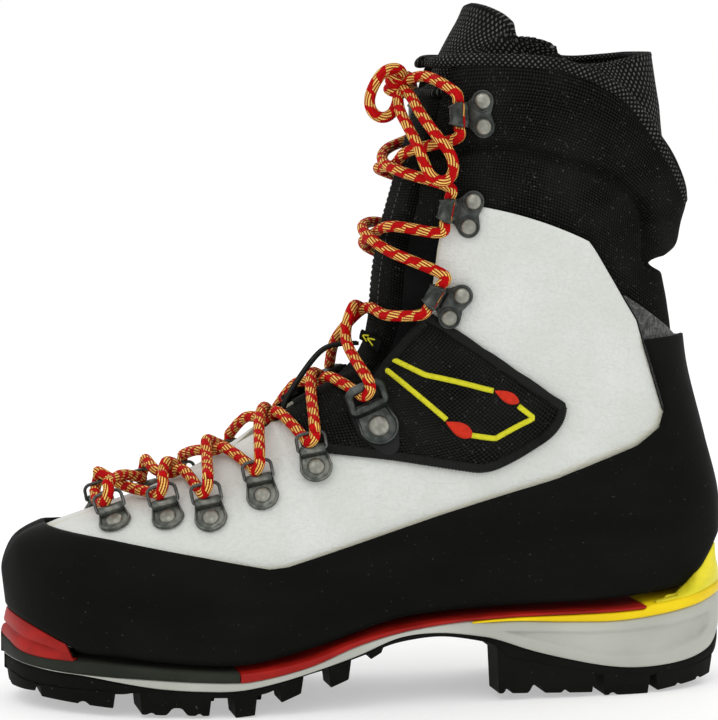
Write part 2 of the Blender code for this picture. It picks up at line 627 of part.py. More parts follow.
def lug(x0, x1, y0, y1, ground):
    """A block from the outsole's skin to the ground, narrower at its foot; y0 and y1 are functions of x."""
    bm = bmesh.new()
    corners = []
    for x, lean in ((x0, 0.7), (x1, -0.7)):
        roof = interpolate(SKIN_BOTTOM, x) + LUG_ROOT
        a, b = y0(x), y1(x)
        narrow = 0.7 if b > a else -0.7
        corners.append([(x + lean, a + narrow, ground), (x + lean, b - narrow, ground), (x, b, roof), (x, a, roof)])
    rings = [[bm.verts.new(metres(p)) for p in ring] for ring in corners]
    for i in range(4):
        j = (i + 1) % 4
        bm.faces.new((rings[0][i], rings[0][j], rings[1][j], rings[1][i]))
    bm.faces.new(rings[0][::-1])
    bm.faces.new(rings[1])
    return bm


def make_outsole():
    """The rubber skin under the midsole, with its lugs joined to it."""
    skin = mesh_from("outsole", slab(sole_xs(-145.0, 156.0), 1.4, moved(MIDSOLE_BOTTOM, -LAYER_GAP), SKIN_BOTTOM))
    made = place("outsole", skin, "sole_rubber")
    blocks = []
    for x0, x1, ground in LUGS:
        for side in (LATERAL, MEDIAL):
            blocks.append(lug(x0, x1, lambda x: outline_at(x, side, LUG_INSET[0]),
                              lambda x: outline_at(x, side, LUG_INSET[1]), ground))
    for x0, x1, ground in CENTRE_LUGS:
        blocks.append(lug(x0, x1, lambda x: outline_at(x, LATERAL, 31.0), lambda x: outline_at(x, MEDIAL, 31.0),
                          ground))
    for number, block in enumerate(blocks):
        join(made, mesh_from(f"lug_{number}", block))


def join(made, mesh):
    """Adds a solid to an object with a Boolean union; the solid is kept with the cutters."""
    helper = bpy.data.objects.new(mesh.name, mesh)
    CUTTERS.objects.link(helper)
    helper.hide_render = True
    helper.display_type = "WIRE"
    union = made.modifiers.new(mesh.name, "BOOLEAN")
    union.operation = "UNION"
    union.object = helper


# Hardware ---------------------------------------------------------------------------------------------------

def seat_matrix(u, s, side, off=SEAT_GAP):
    """Local axes of a fitting: X along the boot, Y up the section, Z outward."""
    p, up, n = frame_at(u, s, side)
    x = np.cross(up, n)
    made = Matrix.Identity(4)
    for i, axis in enumerate((x, up, n)):
        for j in range(3):
            made[j][i] = axis[j]
    made.translation = metres(p + n * off)
    return made


def cylinder(bm, radius, length, sides, matrix, top_radius=None):
    bmesh.ops.create_cone(bm, cap_ends=True, segments=sides, radius1=radius * MM,
                          radius2=(radius if top_radius is None else top_radius) * MM, depth=length * MM,
                          matrix=matrix)


def extruded(name, outline, thickness, base):
    """A flat outline (mm, in X and Y) as a plate from base to base + thickness along Z."""
    curve = bpy.data.curves.new(name, "CURVE")
    curve.dimensions = "2D"
    curve.fill_mode = "BOTH"
    curve.extrude = 0.5 * thickness * MM
    spline = curve.splines.new("POLY")
    spline.points.add(len(outline) - 1)
    for point_of, (x, y) in zip(spline.points, outline):
        point_of.co = (x * MM, y * MM, 0.0, 1.0)
    spline.use_cyclic_u = True
    helper = bpy.data.objects.new(name, curve)
    CUTTERS.objects.link(helper)
    mesh = bpy.data.meshes.new_from_object(helper.evaluated_get(bpy.context.evaluated_depsgraph_get()))
    bpy.data.objects.remove(helper, do_unlink=True)
    bm = bmesh.new()
    bm.from_mesh(mesh)
    bmesh.ops.translate(bm, verts=bm.verts, vec=(0.0, 0.0, (base + 0.5 * thickness) * MM))
    bmesh.ops.remove_doubles(bm, verts=bm.verts, dist=0.00001)
    bmesh.ops.recalc_face_normals(bm, faces=bm.faces)
    made = bpy.data.meshes.new(name)
    bm.to_mesh(made)
    bm.free()
    return made


def arc(x, y, radius, start, end, count):
    """Points of an arc, its angles in degrees."""
    angles = [math.radians(start + (end - start) * i / count) for i in range(count + 1)]
    return [(x + radius * math.cos(a), y + radius * math.sin(a)) for a in angles]


def solid_mesh(name, build):
    bm = bmesh.new()
    build(bm)
    mesh = bpy.data.meshes.new(name)
    bm.to_mesh(mesh)
    bm.free()
    return mesh


def united(name, meshes, cut=()):
    """One closed mesh from overlapping solids, less some others."""
    made = bpy.data.objects.new(name, meshes[0])
    CUTTERS.objects.link(made)
    helpers = []
    for operation, group in (("UNION", meshes[1:]), ("DIFFERENCE", cut)):
        for mesh in group:
            helper = bpy.data.objects.new(mesh.name, mesh)
            CUTTERS.objects.link(helper)
            boolean = made.modifiers.new(mesh.name, "BOOLEAN")
            boolean.operation = operation
            boolean.object = helper
            helpers.append(helper)
    bpy.context.view_layer.update()
    result = bpy.data.meshes.new_from_object(made.evaluated_get(bpy.context.evaluated_depsgraph_get()))
    for helper in helpers + [made]:
        bpy.data.objects.remove(helper, do_unlink=True)
    result.name = name
    return result


def rivet(x, y, base, radius=RIVET_R, height=RIVET_H):
    def build(bm):
        cylinder(bm, radius, height, 10, Matrix.Translation(Vector((x, y, base + height / 2)) * MM),
                 radius * 0.62)
    return solid_mesh("rivet", build)


def along_x(bm, radius, length, y, z, sides):
    turn = Matrix.Rotation(math.radians(90), 4, "Y")
    cylinder(bm, radius, length, sides, Matrix.Translation(Vector((0.0, y, z)) * MM) @ turn)


def clip_mesh(name, scale):
    """A lace clip: a riveted plate whose end is rolled into the barrel that a ring turns in."""
    half, tail, top = 5.6 * scale, -5.4 * scale, HINGE_UP * scale
    outline = (arc(0.0, 0.0, half, 200, 340, 6) + [(BARREL_HALF * scale, top - 1.0), (-BARREL_HALF * scale, top - 1.0)])
    plate = extruded("plate", outline, PLATE_T, 0.0)
    barrel = solid_mesh("barrel", lambda bm: along_x(bm, BARREL_R, 2 * BARREL_HALF * scale, top, HINGE_OUT - SEAT_GAP, 10))
    bore = solid_mesh("bore", lambda bm: along_x(bm, BARREL_BORE, 4 * BARREL_HALF * scale, top, HINGE_OUT - SEAT_GAP, 8))
    head = rivet(0.0, 0.0, PLATE_T - 0.1, RIVET_R * scale, RIVET_H)
    return united(name, [plate, barrel, head], [bore])


def ring_mesh(name, scale):
    """A D-shaped wire ring about its own hinge bar, which lies on the local X axis."""
    reach, half, corner = RING_REACH * scale, RING_HALF * scale, 2.2 * scale
    flat = (arc(half - 0.8, 0.8, 0.8, -90, 0, 1) + arc(half - corner, reach - corner, corner, 0, 90, 3)
            + arc(corner - half, reach - corner, corner, 90, 180, 3) + arc(0.8 - half, 0.8, 0.8, 180, 270, 1))
    curve = bpy.data.curves.new(name, "CURVE")
    curve.dimensions = "3D"
    curve.bevel_depth = WIRE_R * MM
    curve.bevel_resolution = 1
    spline = curve.splines.new("POLY")
    spline.points.add(len(flat) - 1)
    for point_of, (x, y) in zip(spline.points, flat):
        out = y * math.sin(RING_TILT)
        point_of.co = (x * MM, y * math.cos(RING_TILT) * MM, out * MM, 1.0)
    spline.use_cyclic_u = True
    return curve


def hook_mesh(name):
    """A speed hook: two rivets on a waisted plate, and a strip that curls back over the lace."""
    gap = HOOK_HALF
    outline = (arc(gap, 0.0, 4.6, -100, 100, 6) + [(HOOK_HALF - 0.6, 6.5), (0.6 - HOOK_HALF, 6.5)]
               + arc(-gap, 0.0, 4.6, 80, 280, 6) + [(0.0, -2.8)])
    plate = extruded("plate", outline, PLATE_T, 0.0)
    inner, outer = HOOK_BEND_R, HOOK_BEND_R + PLATE_T
    centre = PLATE_T + inner
    strip = ([(5.5, 0.0)] + arc(HOOK_REACH, centre, outer, -90, 90, 6) + [(HOOK_REACH - 2.4, centre + outer)]
             + [(HOOK_REACH - 2.4, centre + inner)] + arc(HOOK_REACH, centre, inner, 90, -90, 6) + [(5.5, PLATE_T)])
    curl = extruded("curl", strip, 2 * HOOK_HALF, -HOOK_HALF)
    curl.transform(Matrix(((0, 0, 1, 0), (1, 0, 0, 0), (0, 1, 0, 0), (0, 0, 0, 1))))
    heads = [rivet(x, 0.0, PLATE_T - 0.1, 3.5) for x in (-gap, gap)]
    return united(name, [plate, curl] + heads)


def clip_seat(number, side):
    return seat_matrix(*CLIP_SEATS[number - 1], side, PATCH_LIFT if number == 5 else SEAT_GAP)


def hook_seat(number, side):
    return seat_matrix(*HOOK_SEATS[number - 1], side, PATCH_LIFT if number == 1 else HOOK_LIFT)


def make_hardware():
    clip, ring = clip_mesh("lace_clip", 1.0), ring_mesh("lace_ring", 1.0)
    lock, loop = clip_mesh("lace_lock", LOCK_SCALE), ring_mesh("lock_loop", LOCK_SCALE)
    hook = hook_mesh("speed_hook")
    for side, name in ((LATERAL, "lateral"), (MEDIAL, "medial")):
        for number in range(1, len(CLIP_SEATS) + 1):
            seat = clip_seat(number, side)
            place(f"lace_clip_{name}_{number}", clip, "gunmetal").matrix_world = seat
            hinge = seat @ Matrix.Translation(Vector((0.0, HINGE_UP, HINGE_OUT - SEAT_GAP)) * MM)
            place(f"d_ring_{name}_{number}", ring, "wire").matrix_world = hinge
        seat = seat_matrix(*LOCK_SEAT, side, PATCH_LIFT)
        place(f"lace_lock_{name}", lock, "gunmetal").matrix_world = seat
        hinge = seat @ Matrix.Translation(Vector((0.0, HINGE_UP * LOCK_SCALE, HINGE_OUT - SEAT_GAP)) * MM)
        place(f"lock_loop_{name}", loop, "wire").matrix_world = hinge
        for number in range(1, len(HOOK_SEATS) + 1):
            place(f"speed_hook_{name}_{number}", hook, "gunmetal").matrix_world = hook_seat(number, side)


# The lace ---------------------------------------------------------------------------------------------------

def local(matrix, x, y, z):
    """A point given in a fitting's own axes (mm), in design millimetres."""
    p = matrix @ (Vector((x, y, z)) * MM)
    return np.array([p.x / MM - SHIFT_X, p.y / MM - SHIFT_Y, p.z / MM])


def ring_turn(seat, side, scale):
    """The lace's turn round a ring's far bar: in under the bar on the toe side, out over it."""
    seat = seat @ Matrix.Translation(Vector((0.0, HINGE_UP * scale, HINGE_OUT - SEAT_GAP)) * MM)
    bar_up = RING_REACH * scale * math.cos(RING_TILT)
    bar_out = RING_REACH * scale * math.sin(RING_TILT)
    radius = WIRE_R + LACE_R + 0.75
    toward_heel = 1.0 if side == LATERAL else -1.0
    points = []
    for angle, along in ((270, -2.3), (225, -1.6), (180, 0.0), (135, 1.6), (90, 2.1), (60, 2.4)):
        a = math.radians(angle)
        points.append(local(seat, along * toward_heel, bar_up + radius * math.cos(a), bar_out + radius * math.sin(a)))
    return points


def hook_run(seat, side):
    """The lace inside a hook's curl, from its lower end to its upper end."""
    up = 1.0 if side == LATERAL else -1.0
    centre = PLATE_T + HOOK_BEND_R
    runs = ((-9.5, HOOK_REACH + 1.6), (-5.0, HOOK_REACH), (0.0, HOOK_REACH - 0.2), (5.0, HOOK_REACH),
            (9.5, HOOK_REACH + 1.6))
    return [local(seat, up * x, y, centre + 0.1) for x, y in runs]


def crossing(u, over):
    floor = LACE_R + LACE_CLEAR + (1.9 if u < 3.6 else 0.0 if u < 5.6 else TONGUE_LAYER[0])
    return ridge_point(u, floor + (2 * LACE_R + 1.6 * LACE_CLEAR if over else 0.0))


def shoulder(u, side, half, off):
    """A point of the lace between a fitting and the ridge."""
    return surface_point(u, s_at_half(u, side, half), side, off)


CROSSINGS = [3.42, 4.22, 5.02, 5.92, 6.95, 11.0, 14.75, 16.95]
FIRST_ACROSS = 2.86


def lace_strand(start):
    """One end of the lace: from the middle of the first straight run to the knot, crossing at each pair."""
    side = start
    route = [ridge_point(FIRST_ACROSS, LACE_R + LACE_CLEAR)]
    for number in range(9):
        if number < 5:
            route += ring_turn(clip_seat(number + 1, side), side, 1.0)
        elif number == 5:
            route += ring_turn(seat_matrix(*LOCK_SEAT, side, PATCH_LIFT), side, LOCK_SCALE)
        else:
            route += hook_run(hook_seat(number - 5, side), side)
        if number < 8:
            over = (number % 2 == 0) == (start == LATERAL)
            route += between(number, side, over)
            side = -side
    return route


def between(number, side, over):
    """The lace from one fitting over the tongue to the next one on the other side."""
    u = CROSSINGS[number]
    middle = crossing(u, over)
    if number < 1:
        return [middle]
    half = interpolate(SHOULDER_HALF, u)
    lift = LACE_R + 1.5
    step = SHOULDER_RUN / np.linalg.norm(row_at(u + 0.5)[2:4] - row_at(u - 0.5)[2:4])
    return [shoulder(u - step, side, half, lift + 1.5), middle, shoulder(u + step, -side, half, lift)]


SHOULDER_HALF = [(3.0, 7.0), (4.2, 9.0), (5.0, 13.0), (7.0, 15.0), (10.6, 20.0), (17.0, 19.0)]
SHOULDER_RUN = 4.4
TOP_RUN = (27.0, 15.0, 256.5)
KNOT_AT = (18.6, 0.0, 251.0)
KNOT_R = (6.2, 6.6, 6.8)


def smooth_route(points, spacing):
    """Points along a Catmull-Rom curve through the route, closer together where it bends."""
    points = [np.array(p, float) for p in points]
    padded = [2 * points[0] - points[1]] + points + [2 * points[-1] - points[-2]]
    dense = []
    for a, b, c, d in zip(padded, padded[1:], padded[2:], padded[3:]):
        for i in range(12):
            t = i / 12
            dense.append(0.5 * (2 * b + (c - a) * t + (2 * a - 5 * b + 4 * c - d) * t * t
                                + (3 * b - a - 3 * c + d) * t ** 3))
    dense.append(points[-1])
    dense = np.array(dense)
    measure = travelled(dense, LACE_PER_RADIAN)
    count = max(2, round(measure[-1] / spacing))
    at = [measure[-1] * i / count for i in range(count + 1)]
    return [np.array([np.interp(a, measure, dense[:, k]) for k in range(3)]) for a in at]


def tube(name, points, radius, finish):
    curve = bpy.data.curves.new(name, "CURVE")
    curve.dimensions = "3D"
    curve.bevel_depth = radius * MM
    curve.bevel_resolution = 1
    curve.use_fill_caps = True
    spline = curve.splines.new("POLY")
    spline.points.add(len(points) - 1)
    for point_of, p in zip(spline.points, points):
        point_of.co = (*metres(p), 1.0)
    return place(name, curve, finish)


def outside_knot(points, clear):
    """Leaves out what lies inside the knot."""
    return [p for p in points if np.linalg.norm((p - np.array(KNOT_AT)) / (np.array(KNOT_R) + clear)) > 1.0]


def make_lace():
    for start, name in ((LATERAL, "lateral"), (MEDIAL, "medial")):
        route = lace_strand(start) + [(TOP_RUN[0], start * TOP_RUN[1], TOP_RUN[2]), KNOT_AT]
        points = outside_knot(smooth_route(route, LACE_SPACING), LACE_R + 0.3)
        points[0] = points[0] + np.array([0.0, start * 0.9, 0.0])
        tube(f"lace_{name}", points, LACE_R, "lace")
    bm = bmesh.new()
    bmesh.ops.create_uvsphere(bm, u_segments=12, v_segments=8, radius=1.0)
    mesh = bpy.data.meshes.new("lace_knot")
    bm.to_mesh(mesh)
    bm.free()
    mesh.transform(Matrix.Diagonal([r * MM for r in KNOT_R] + [1.0]))
    place("lace_knot", mesh, "lace").location = metres(KNOT_AT)
    for name, route in LOOPS.items():
        tube(name, outside_knot(smooth_route(route, LACE_SPACING), LACE_R + 0.3), LACE_R, "lace")


LACE_SPACING = 9.0
LOOPS = {
    "bow_loop_short": [KNOT_AT, (12.0, -5.0, 260.0), (2.0, -8.0, 259.0), (-4.5, -10.0, 251.0), (-1.0, -11.0, 240.5),
                       (8.0, -11.0, 237.0), (14.0, -9.0, 243.0), KNOT_AT],
    "bow_loop_long": [KNOT_AT, (22.0, -12.0, 246.5), (24.5, -25.0, 240.5), (29.5, -38.5, 231.5), (33.5, -45.5, 223.0),
                      (35.5, -46.0, 216.0), (32.0, -46.0, 212.0), (27.5, -44.0, 214.0), (24.0, -38.0, 223.0),
                      (20.5, -25.0, 234.0), (18.0, -12.0, 242.0), KNOT_AT],
}


make_upper()
make_tongue()
make_sole()
make_hardware()
make_lace()
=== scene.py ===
"""The looks of the mountaineering boot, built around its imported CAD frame.

Lengths are in millimetres until metres() turns them into the row frame. The upper is one lofted surface,
the same as the CAD's: a fan of sections from the toe round the instep to the collar, read at station u and
fraction s (0 at the bottom edge, 1 at the ridge). Every panel is a finer patch of it, lifted along normals.
"""

import json
import math

import bmesh
import bpy
import numpy as np
from mathutils import Matrix, Vector

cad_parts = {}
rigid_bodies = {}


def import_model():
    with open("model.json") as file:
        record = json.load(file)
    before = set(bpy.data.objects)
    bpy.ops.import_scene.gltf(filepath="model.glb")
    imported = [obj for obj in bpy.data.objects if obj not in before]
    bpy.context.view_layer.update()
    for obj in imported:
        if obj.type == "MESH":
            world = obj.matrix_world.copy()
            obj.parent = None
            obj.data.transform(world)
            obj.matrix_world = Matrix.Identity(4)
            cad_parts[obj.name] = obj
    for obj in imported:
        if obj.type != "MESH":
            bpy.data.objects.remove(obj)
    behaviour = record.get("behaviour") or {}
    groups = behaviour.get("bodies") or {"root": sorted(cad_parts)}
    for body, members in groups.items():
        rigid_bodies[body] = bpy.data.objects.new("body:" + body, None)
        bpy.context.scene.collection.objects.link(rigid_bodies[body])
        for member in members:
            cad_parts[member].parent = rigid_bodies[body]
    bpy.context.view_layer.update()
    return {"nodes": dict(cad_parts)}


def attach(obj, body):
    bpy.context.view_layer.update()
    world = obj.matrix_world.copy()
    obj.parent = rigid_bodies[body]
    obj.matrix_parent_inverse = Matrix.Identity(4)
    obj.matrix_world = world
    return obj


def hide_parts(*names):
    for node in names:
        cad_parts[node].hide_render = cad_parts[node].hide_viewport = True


for old in list(bpy.data.objects):
    bpy.data.objects.remove(old, do_unlink=True)

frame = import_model()

MM = 0.001
LATERAL, MEDIAL = -1, 1
SIDES = ((LATERAL, "lateral"), (MEDIAL, "medial"))
SHIFT = np.array([-6.4, 1.2, 0.0])  # from the design's origin to the row frame's

# The surface -------------------------------------------------------------------------------------

# Each row: bottom point x, z; ridge point x, z; half widths at the bottom edge, lateral and medial; greatest
# half widths, lateral and medial; y of the ridge; squareness at the bottom and the ridge; bow of the section
STATIONS = np.array([
    [-140.5, 31.0, -143.4, 55.0, -7.0, 7.0, -7.0, 7.0, 7.0, 0.75, 0.80, 0.0],
    [-135.5, 28.0, -138.0, 66.0, 12.5, 27.0, 14.0, 28.0, 7.0, 0.75, 0.80, 0.0],
    [-121.0, 25.5, -123.0, 73.0, 29.0, 38.5, 31.5, 40.5, 6.0, 0.75, 0.78, 0.0],
    [-100.0, 23.5, -103.0, 79.5, 40.0, 44.5, 43.0, 46.5, 5.0, 0.75, 0.78, 0.0],
    [-78.0, 21.0, -80.0, 87.5, 46.0, 46.5, 49.0, 49.0, 4.0, 0.75, 0.80, 0.0],
    [-54.0, 20.0, -58.0, 98.5, 48.5, 45.0, 51.0, 47.0, 3.0, 0.72, 0.82, 0.0],
    [-26.0, 25.5, -34.0, 115.0, 46.5, 39.0, 49.0, 42.0, 2.5, 0.68, 0.80, 0.0],
    [12.0, 35.5, -14.0, 129.0, 41.0, 31.5, 44.5, 38.0, 2.0, 0.62, 0.76, 0.0],
    [58.0, 38.0, -3.5, 138.0, 37.0, 31.5, 41.0, 36.5, 1.0, 0.55, 0.74, 0.0],
    [104.0, 38.5, 1.5, 146.0, 34.0, 32.5, 38.5, 36.5, 0.5, 0.50, 0.72, 0.0],
    [130.5, 40.5, 3.0, 152.5, 25.0, 24.5, 37.5, 36.0, 0.0, 0.50, 0.72, 0.0],
    [144.5, 42.6, 4.0, 159.0, 11.0, 11.0, 36.5, 36.0, 0.0, 0.50, 0.72, 0.0],
    [149.8, 46.8, 4.5, 165.0, 0.0, 0.0, 36.5, 36.0, 0.0, 0.50, 0.72, 0.0],
    [152.0, 76.0, 5.2, 173.0, 0.0, 0.0, 37.0, 36.5, 0.0, 0.52, 0.72, 0.0],
    [145.3, 104.0, 6.6, 182.0, 0.0, 0.0, 38.0, 37.5, 0.0, 0.56, 0.72, 2.0],
    [137.5, 133.0, 9.0, 193.0, 0.0, 0.0, 39.0, 38.5, 0.0, 0.60, 0.72, 6.0],
    [133.5, 158.0, 12.5, 205.0, 0.0, 0.0, 40.5, 40.0, 0.0, 0.62, 0.70, 12.0],
    [127.0, 175.0, 16.8, 219.0, 0.0, 0.0, 42.0, 41.5, 0.0, 0.62, 0.70, 20.0],
    [135.0, 192.0, 22.2, 237.0, 0.0, 0.0, 45.0, 44.5, 0.0, 0.62, 0.70, 21.0],
    [137.5, 209.0, 27.5, 257.0, 0.0, 0.0, 46.5, 46.0, 0.0, 0.64, 0.70, 20.0],
    [128.5, 238.0, 31.0, 263.0, 0.0, 0.0, 46.0, 45.5, 0.0, 0.64, 0.70, 8.0],
    [123.5, 266.0, 35.5, 268.0, 0.0, 0.0, 45.0, 44.5, 0.0, 0.64, 0.70, -2.0],
])
TOP_U = len(STATIONS) - 1
TOE_MIRROR = STATIONS[1].copy()
TOE_MIRROR[4:8] = -STATIONS[1][[5, 4, 7, 6]]
PADDED = np.vstack([TOE_MIRROR, STATIONS, 2 * STATIONS[-1] - STATIONS[-2]])
THROAT_U = 5.35
SECTION_RUN = 95.0  # about how many millimetres of surface one whole fraction takes up
# Half width of the opening that the tongue shows in, by station
EYE_HALF = np.array([(5.35, 0.0), (6.0, 11.0), (7.0, 17.0), (8.0, 19.5), (10.0, 21.0), (14.0, 22.0),
                     (17.0, 23.5), (21.0, 27.0)])


def metres(p):
    return (np.asarray(p, float) + SHIFT) * MM


def catmull_rom(before, a, b, after, t):
    """The point at t (0 to 1) from a to b on a smooth curve through four points."""
    return 0.5 * (2 * a + (b - before) * t + (2 * before - 5 * a + 4 * b - after) * t * t
                  + (3 * a - before - 3 * b + after) * t ** 3)


def rows_at(u):
    """The sections' values at an array of stations, on a smooth curve through the rows."""
    u = np.clip(np.asarray(u, float), 0.0, TOP_U - 1e-9)
    i = u.astype(int)
    return catmull_rom(*(PADDED[i + k] for k in range(4)), (u - i)[..., None])


def widths(row, side):
    """(half width at the bottom edge, greatest half width), from the ridge's own y."""
    medial = side > 0
    edge = np.where(medial, row[..., 5] - row[..., 8], row[..., 4] + row[..., 8])
    most = np.where(medial, row[..., 7] - row[..., 8], row[..., 6] + row[..., 8])
    return np.maximum(edge, 0.0), np.maximum(most, 1e-6)


def start_cosine(u, side):
    row = rows_at(np.maximum(u, 0.06))
    edge, most = widths(row, side)
    angle = np.arcsin(np.minimum(1.0, edge / most) ** (1.0 / row[..., 9]))
    return np.cos(angle)


def surface(u, s, side):
    """Points of the surface at arrays of station and fraction."""
    u, s = np.broadcast_arrays(np.asarray(u, float), np.asarray(s, float))
    row = rows_at(u)
    bottom, ridge = row[..., 0:2], row[..., 2:4]
    along = ridge - bottom
    up = np.stack([along[..., 1], -along[..., 0]], -1)
    up /= np.linalg.norm(up, axis=-1, keepdims=True)
    flat = bottom + along * s[..., None] + up * (row[..., 11] * 4 * s * (1 - s))[..., None]
    c = start_cosine(u, side)
    angle = np.arccos(np.clip(c - s * (1 + c), -1.0, 1.0))
    power = row[..., 9] + (row[..., 10] - row[..., 9]) * s
    half = widths(row, side)[1] * np.maximum(np.sin(angle), 0.0) ** power
    return np.stack([flat[..., 0], row[..., 8] + side * half, flat[..., 1]], -1)


def directions(u, s, side, step=0.01):
    """(up the section, outward normal) at arrays of station and fraction."""
    du = surface(u + step, s, side) - surface(u - step, s, side)
    ds = surface(u, s + step, side) - surface(u, s - step, side)
    normal = np.cross(du, ds) * -np.asarray(side, float)[..., None]
    normal /= np.linalg.norm(normal, axis=-1, keepdims=True) + 1e-12
    up = ds - normal * np.sum(ds * normal, -1, keepdims=True)
    return up / (np.linalg.norm(up, axis=-1, keepdims=True) + 1e-12), normal


def lifted(u, s, side, off=0.0):
    """Surface points moved out by an offset. On the centre lines the normal has no sideways part."""
    u, s, off = np.broadcast_arrays(np.asarray(u, float), np.asarray(s, float), np.asarray(off, float))
    side = np.broadcast_to(side, u.shape)
    normal = directions(u, np.clip(s, 1e-4, 1.0), side)[1]
    p = surface(u, np.clip(s, 0.0, 1.0), side)
    row = rows_at(u)
    closed = (s >= 1.0 - 1e-9) | (u <= 0.0) | ((s <= 0.0) & (widths(row, side)[0] < 0.3))
    flat = normal * np.array([1.0, 0.0, 1.0])
    flat /= np.linalg.norm(flat, axis=-1, keepdims=True) + 1e-12
    normal = np.where(closed[..., None], flat, normal)
    p[..., 1] = np.where(closed, row[..., 8], p[..., 1])
    return p + normal * off[..., None]


def smooth(low, high, x):
    t = np.clip((np.asarray(x, float) - low) / (high - low), 0.0, 1.0)
    return t * t * (3 - 2 * t)


def s_at_half(u, side, half):
    """The fraction, on the section's upper part, where its half width from the ridge's y is this."""
    u, half = np.broadcast_arrays(np.asarray(u, float), np.asarray(half, float))
    c = start_cosine(u, np.broadcast_to(side, u.shape))
    low, high = c / (1 + c), np.ones_like(u)
    ridge_y = rows_at(u)[..., 8]
    for _ in range(24):
        middle = 0.5 * (low + high)
        wide = np.abs(surface(u, middle, np.broadcast_to(side, u.shape))[..., 1] - ridge_y) > half
        low, high = np.where(wide, middle, low), np.where(wide, high, middle)
    return high


def rounded(corners, per_leg=6):
    """Points on a smooth curve through corners."""
    pts = np.array(corners, float)
    pad = np.vstack([2 * pts[0] - pts[1], pts, 2 * pts[-1] - pts[-2]])
    t = np.linspace(0, 1, per_leg, endpoint=False)[:, None]
    legs = [catmull_rom(*four, t) for four in zip(pad, pad[1:], pad[2:], pad[3:])]
    return np.vstack(legs + [pts[-1:]])


def lengths_along(line):
    """The running length at each point of a line."""
    return np.concatenate([[0.0], np.cumsum(np.linalg.norm(np.diff(line, axis=0), axis=1))])


def points_at(line, distances):
    """Points of a line at these running lengths."""
    run = lengths_along(line)
    return np.stack([np.interp(distances, run, line[:, k]) for k in range(line.shape[1])], -1)


def evenly(line, count):
    """A number of points at even distances along a line."""
    return points_at(line, np.linspace(0.0, lengths_along(line)[-1], count))


def even(points, spacing):
    """A smooth curve through points, at even distances."""
    line = rounded(points, 14)
    return evenly(line, max(3, round(lengths_along(line)[-1] / spacing)))


def eased(line, passes):
    """The line with its corners rounded, between the same ends."""
    for _ in range(passes):
        line[1:-1] += 0.5 * (0.5 * (line[2:] + line[:-2]) - line[1:-1])
    return line


def inside(area, x, z):
    hit = np.zeros(np.shape(x), bool)
    for (x0, z0), (x1, z1) in zip(area, np.roll(area, -1, axis=0)):
        if z0 == z1:
            continue
        hit ^= ((z0 > z) != (z1 > z)) & (x < x0 + (x1 - x0) * (z - z0) / (z1 - z0))
    return hit


def spans(us, area, side, samples=160):
    """The first and last fraction of each section that lie inside a side-view area."""
    marks = np.linspace(0.0, 1.0, samples + 1)
    area = np.asarray(area, float)
    us = np.asarray(us, float)

    def hit(s):
        u = np.broadcast_to(us[:, None], s.shape)
        p = surface(u, s, np.broadcast_to(LATERAL, s.shape))
        return inside(area, p[..., 0], p[..., 2])

    found = hit(np.broadcast_to(marks, (len(us), samples + 1)))
    first = marks[np.argmax(found, axis=1)]
    last = marks[samples - np.argmax(found[:, ::-1], axis=1)]
    edges = []
    for within, step in ((first, -1.0 / samples), (last, 1.0 / samples)):
        out = np.clip(within + step, 0.0, 1.0)
        for _ in range(12):
            middle = 0.5 * (out + within)
            yes = hit(middle[:, None])[:, 0]
            within = np.where(yes, middle, within)
            out = np.where(yes, out, middle)
        edges.append(within)
    return edges[0], edges[1], found.any(axis=1)


def on_side(points, side, seats=(0.3, 20.9)):
    """(u, s) of the surface's points seen at these x, z from the side."""
    u, s = np.meshgrid(np.linspace(*seats, 260), np.linspace(0.02, 0.98, 120), indexing="ij")
    grid = surface(u, s, np.full(u.shape, side))
    found = []
    for x, z in np.asarray(points, float):
        i = np.argmin((grid[..., 0] - x) ** 2 + (grid[..., 2] - z) ** 2)
        at = np.array([u.flat[i], s.flat[i]])
        for _ in range(5):
            p = surface(at[0], at[1], side)
            du = (surface(at[0] + 0.01, at[1], side) - p)[[0, 2]] / 0.01
            ds = (surface(at[0], at[1] + 0.001, side) - p)[[0, 2]] / 0.001
            error = np.array([x, z]) - p[[0, 2]]
            step = np.linalg.lstsq(np.stack([du, ds], 1), error, rcond=None)[0]
            at = np.clip(at + step, [seats[0], 0.001], [seats[1], 0.999])
        found.append(at)
    return np.array(found)


# Meshes ------------------------------------------------------------------------------------------

def link(obj, body="boot", replaces=()):
    if obj.name not in bpy.context.scene.collection.objects:
        bpy.context.scene.collection.objects.link(obj)
    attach(obj, body)
    if replaces:
        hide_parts(*replaces)
    return obj


def mesh_object(name, verts, faces, uvs=None, smooth_shade=True):
    """An object from points (mm), faces and, for each point, a UV in millimetres."""
    mesh = bpy.data.meshes.new(name)
    mesh.from_pydata(metres(verts).tolist(), [], faces)
    if uvs is not None:
        layer = mesh.uv_layers.new(name="UVMap")
        index = np.zeros(len(mesh.loops), np.int32)
        mesh.loops.foreach_get("vertex_index", index)
        layer.data.foreach_set("uv", np.asarray(uvs, np.float32)[index].ravel())
    mesh.polygons.foreach_set("use_smooth", [smooth_shade] * len(mesh.polygons))
    mesh.update()
    return bpy.data.objects.new(name, mesh)


def weld(obj, distance=0.02, outward=False):
    bm = bmesh.new()
    bm.from_mesh(obj.data)
    bmesh.ops.remove_doubles(bm, verts=bm.verts, dist=distance * MM)
    if outward:
        bmesh.ops.recalc_face_normals(bm, faces=bm.faces)
    bm.to_mesh(obj.data)
    bm.free()
    return obj


def grid_faces(rows, columns, start=0, wrap=False, flip=False):
    """Quads of a grid whose points are numbered row by row."""
    made = []
    for i in range(rows - 1):
        for j in range(columns if wrap else columns - 1):
            a, b = start + i * columns + j, start + i * columns + (j + 1) % columns
            c, d = b + columns, a + columns
            made.append((a, d, c, b) if flip else (a, b, c, d))
    return made


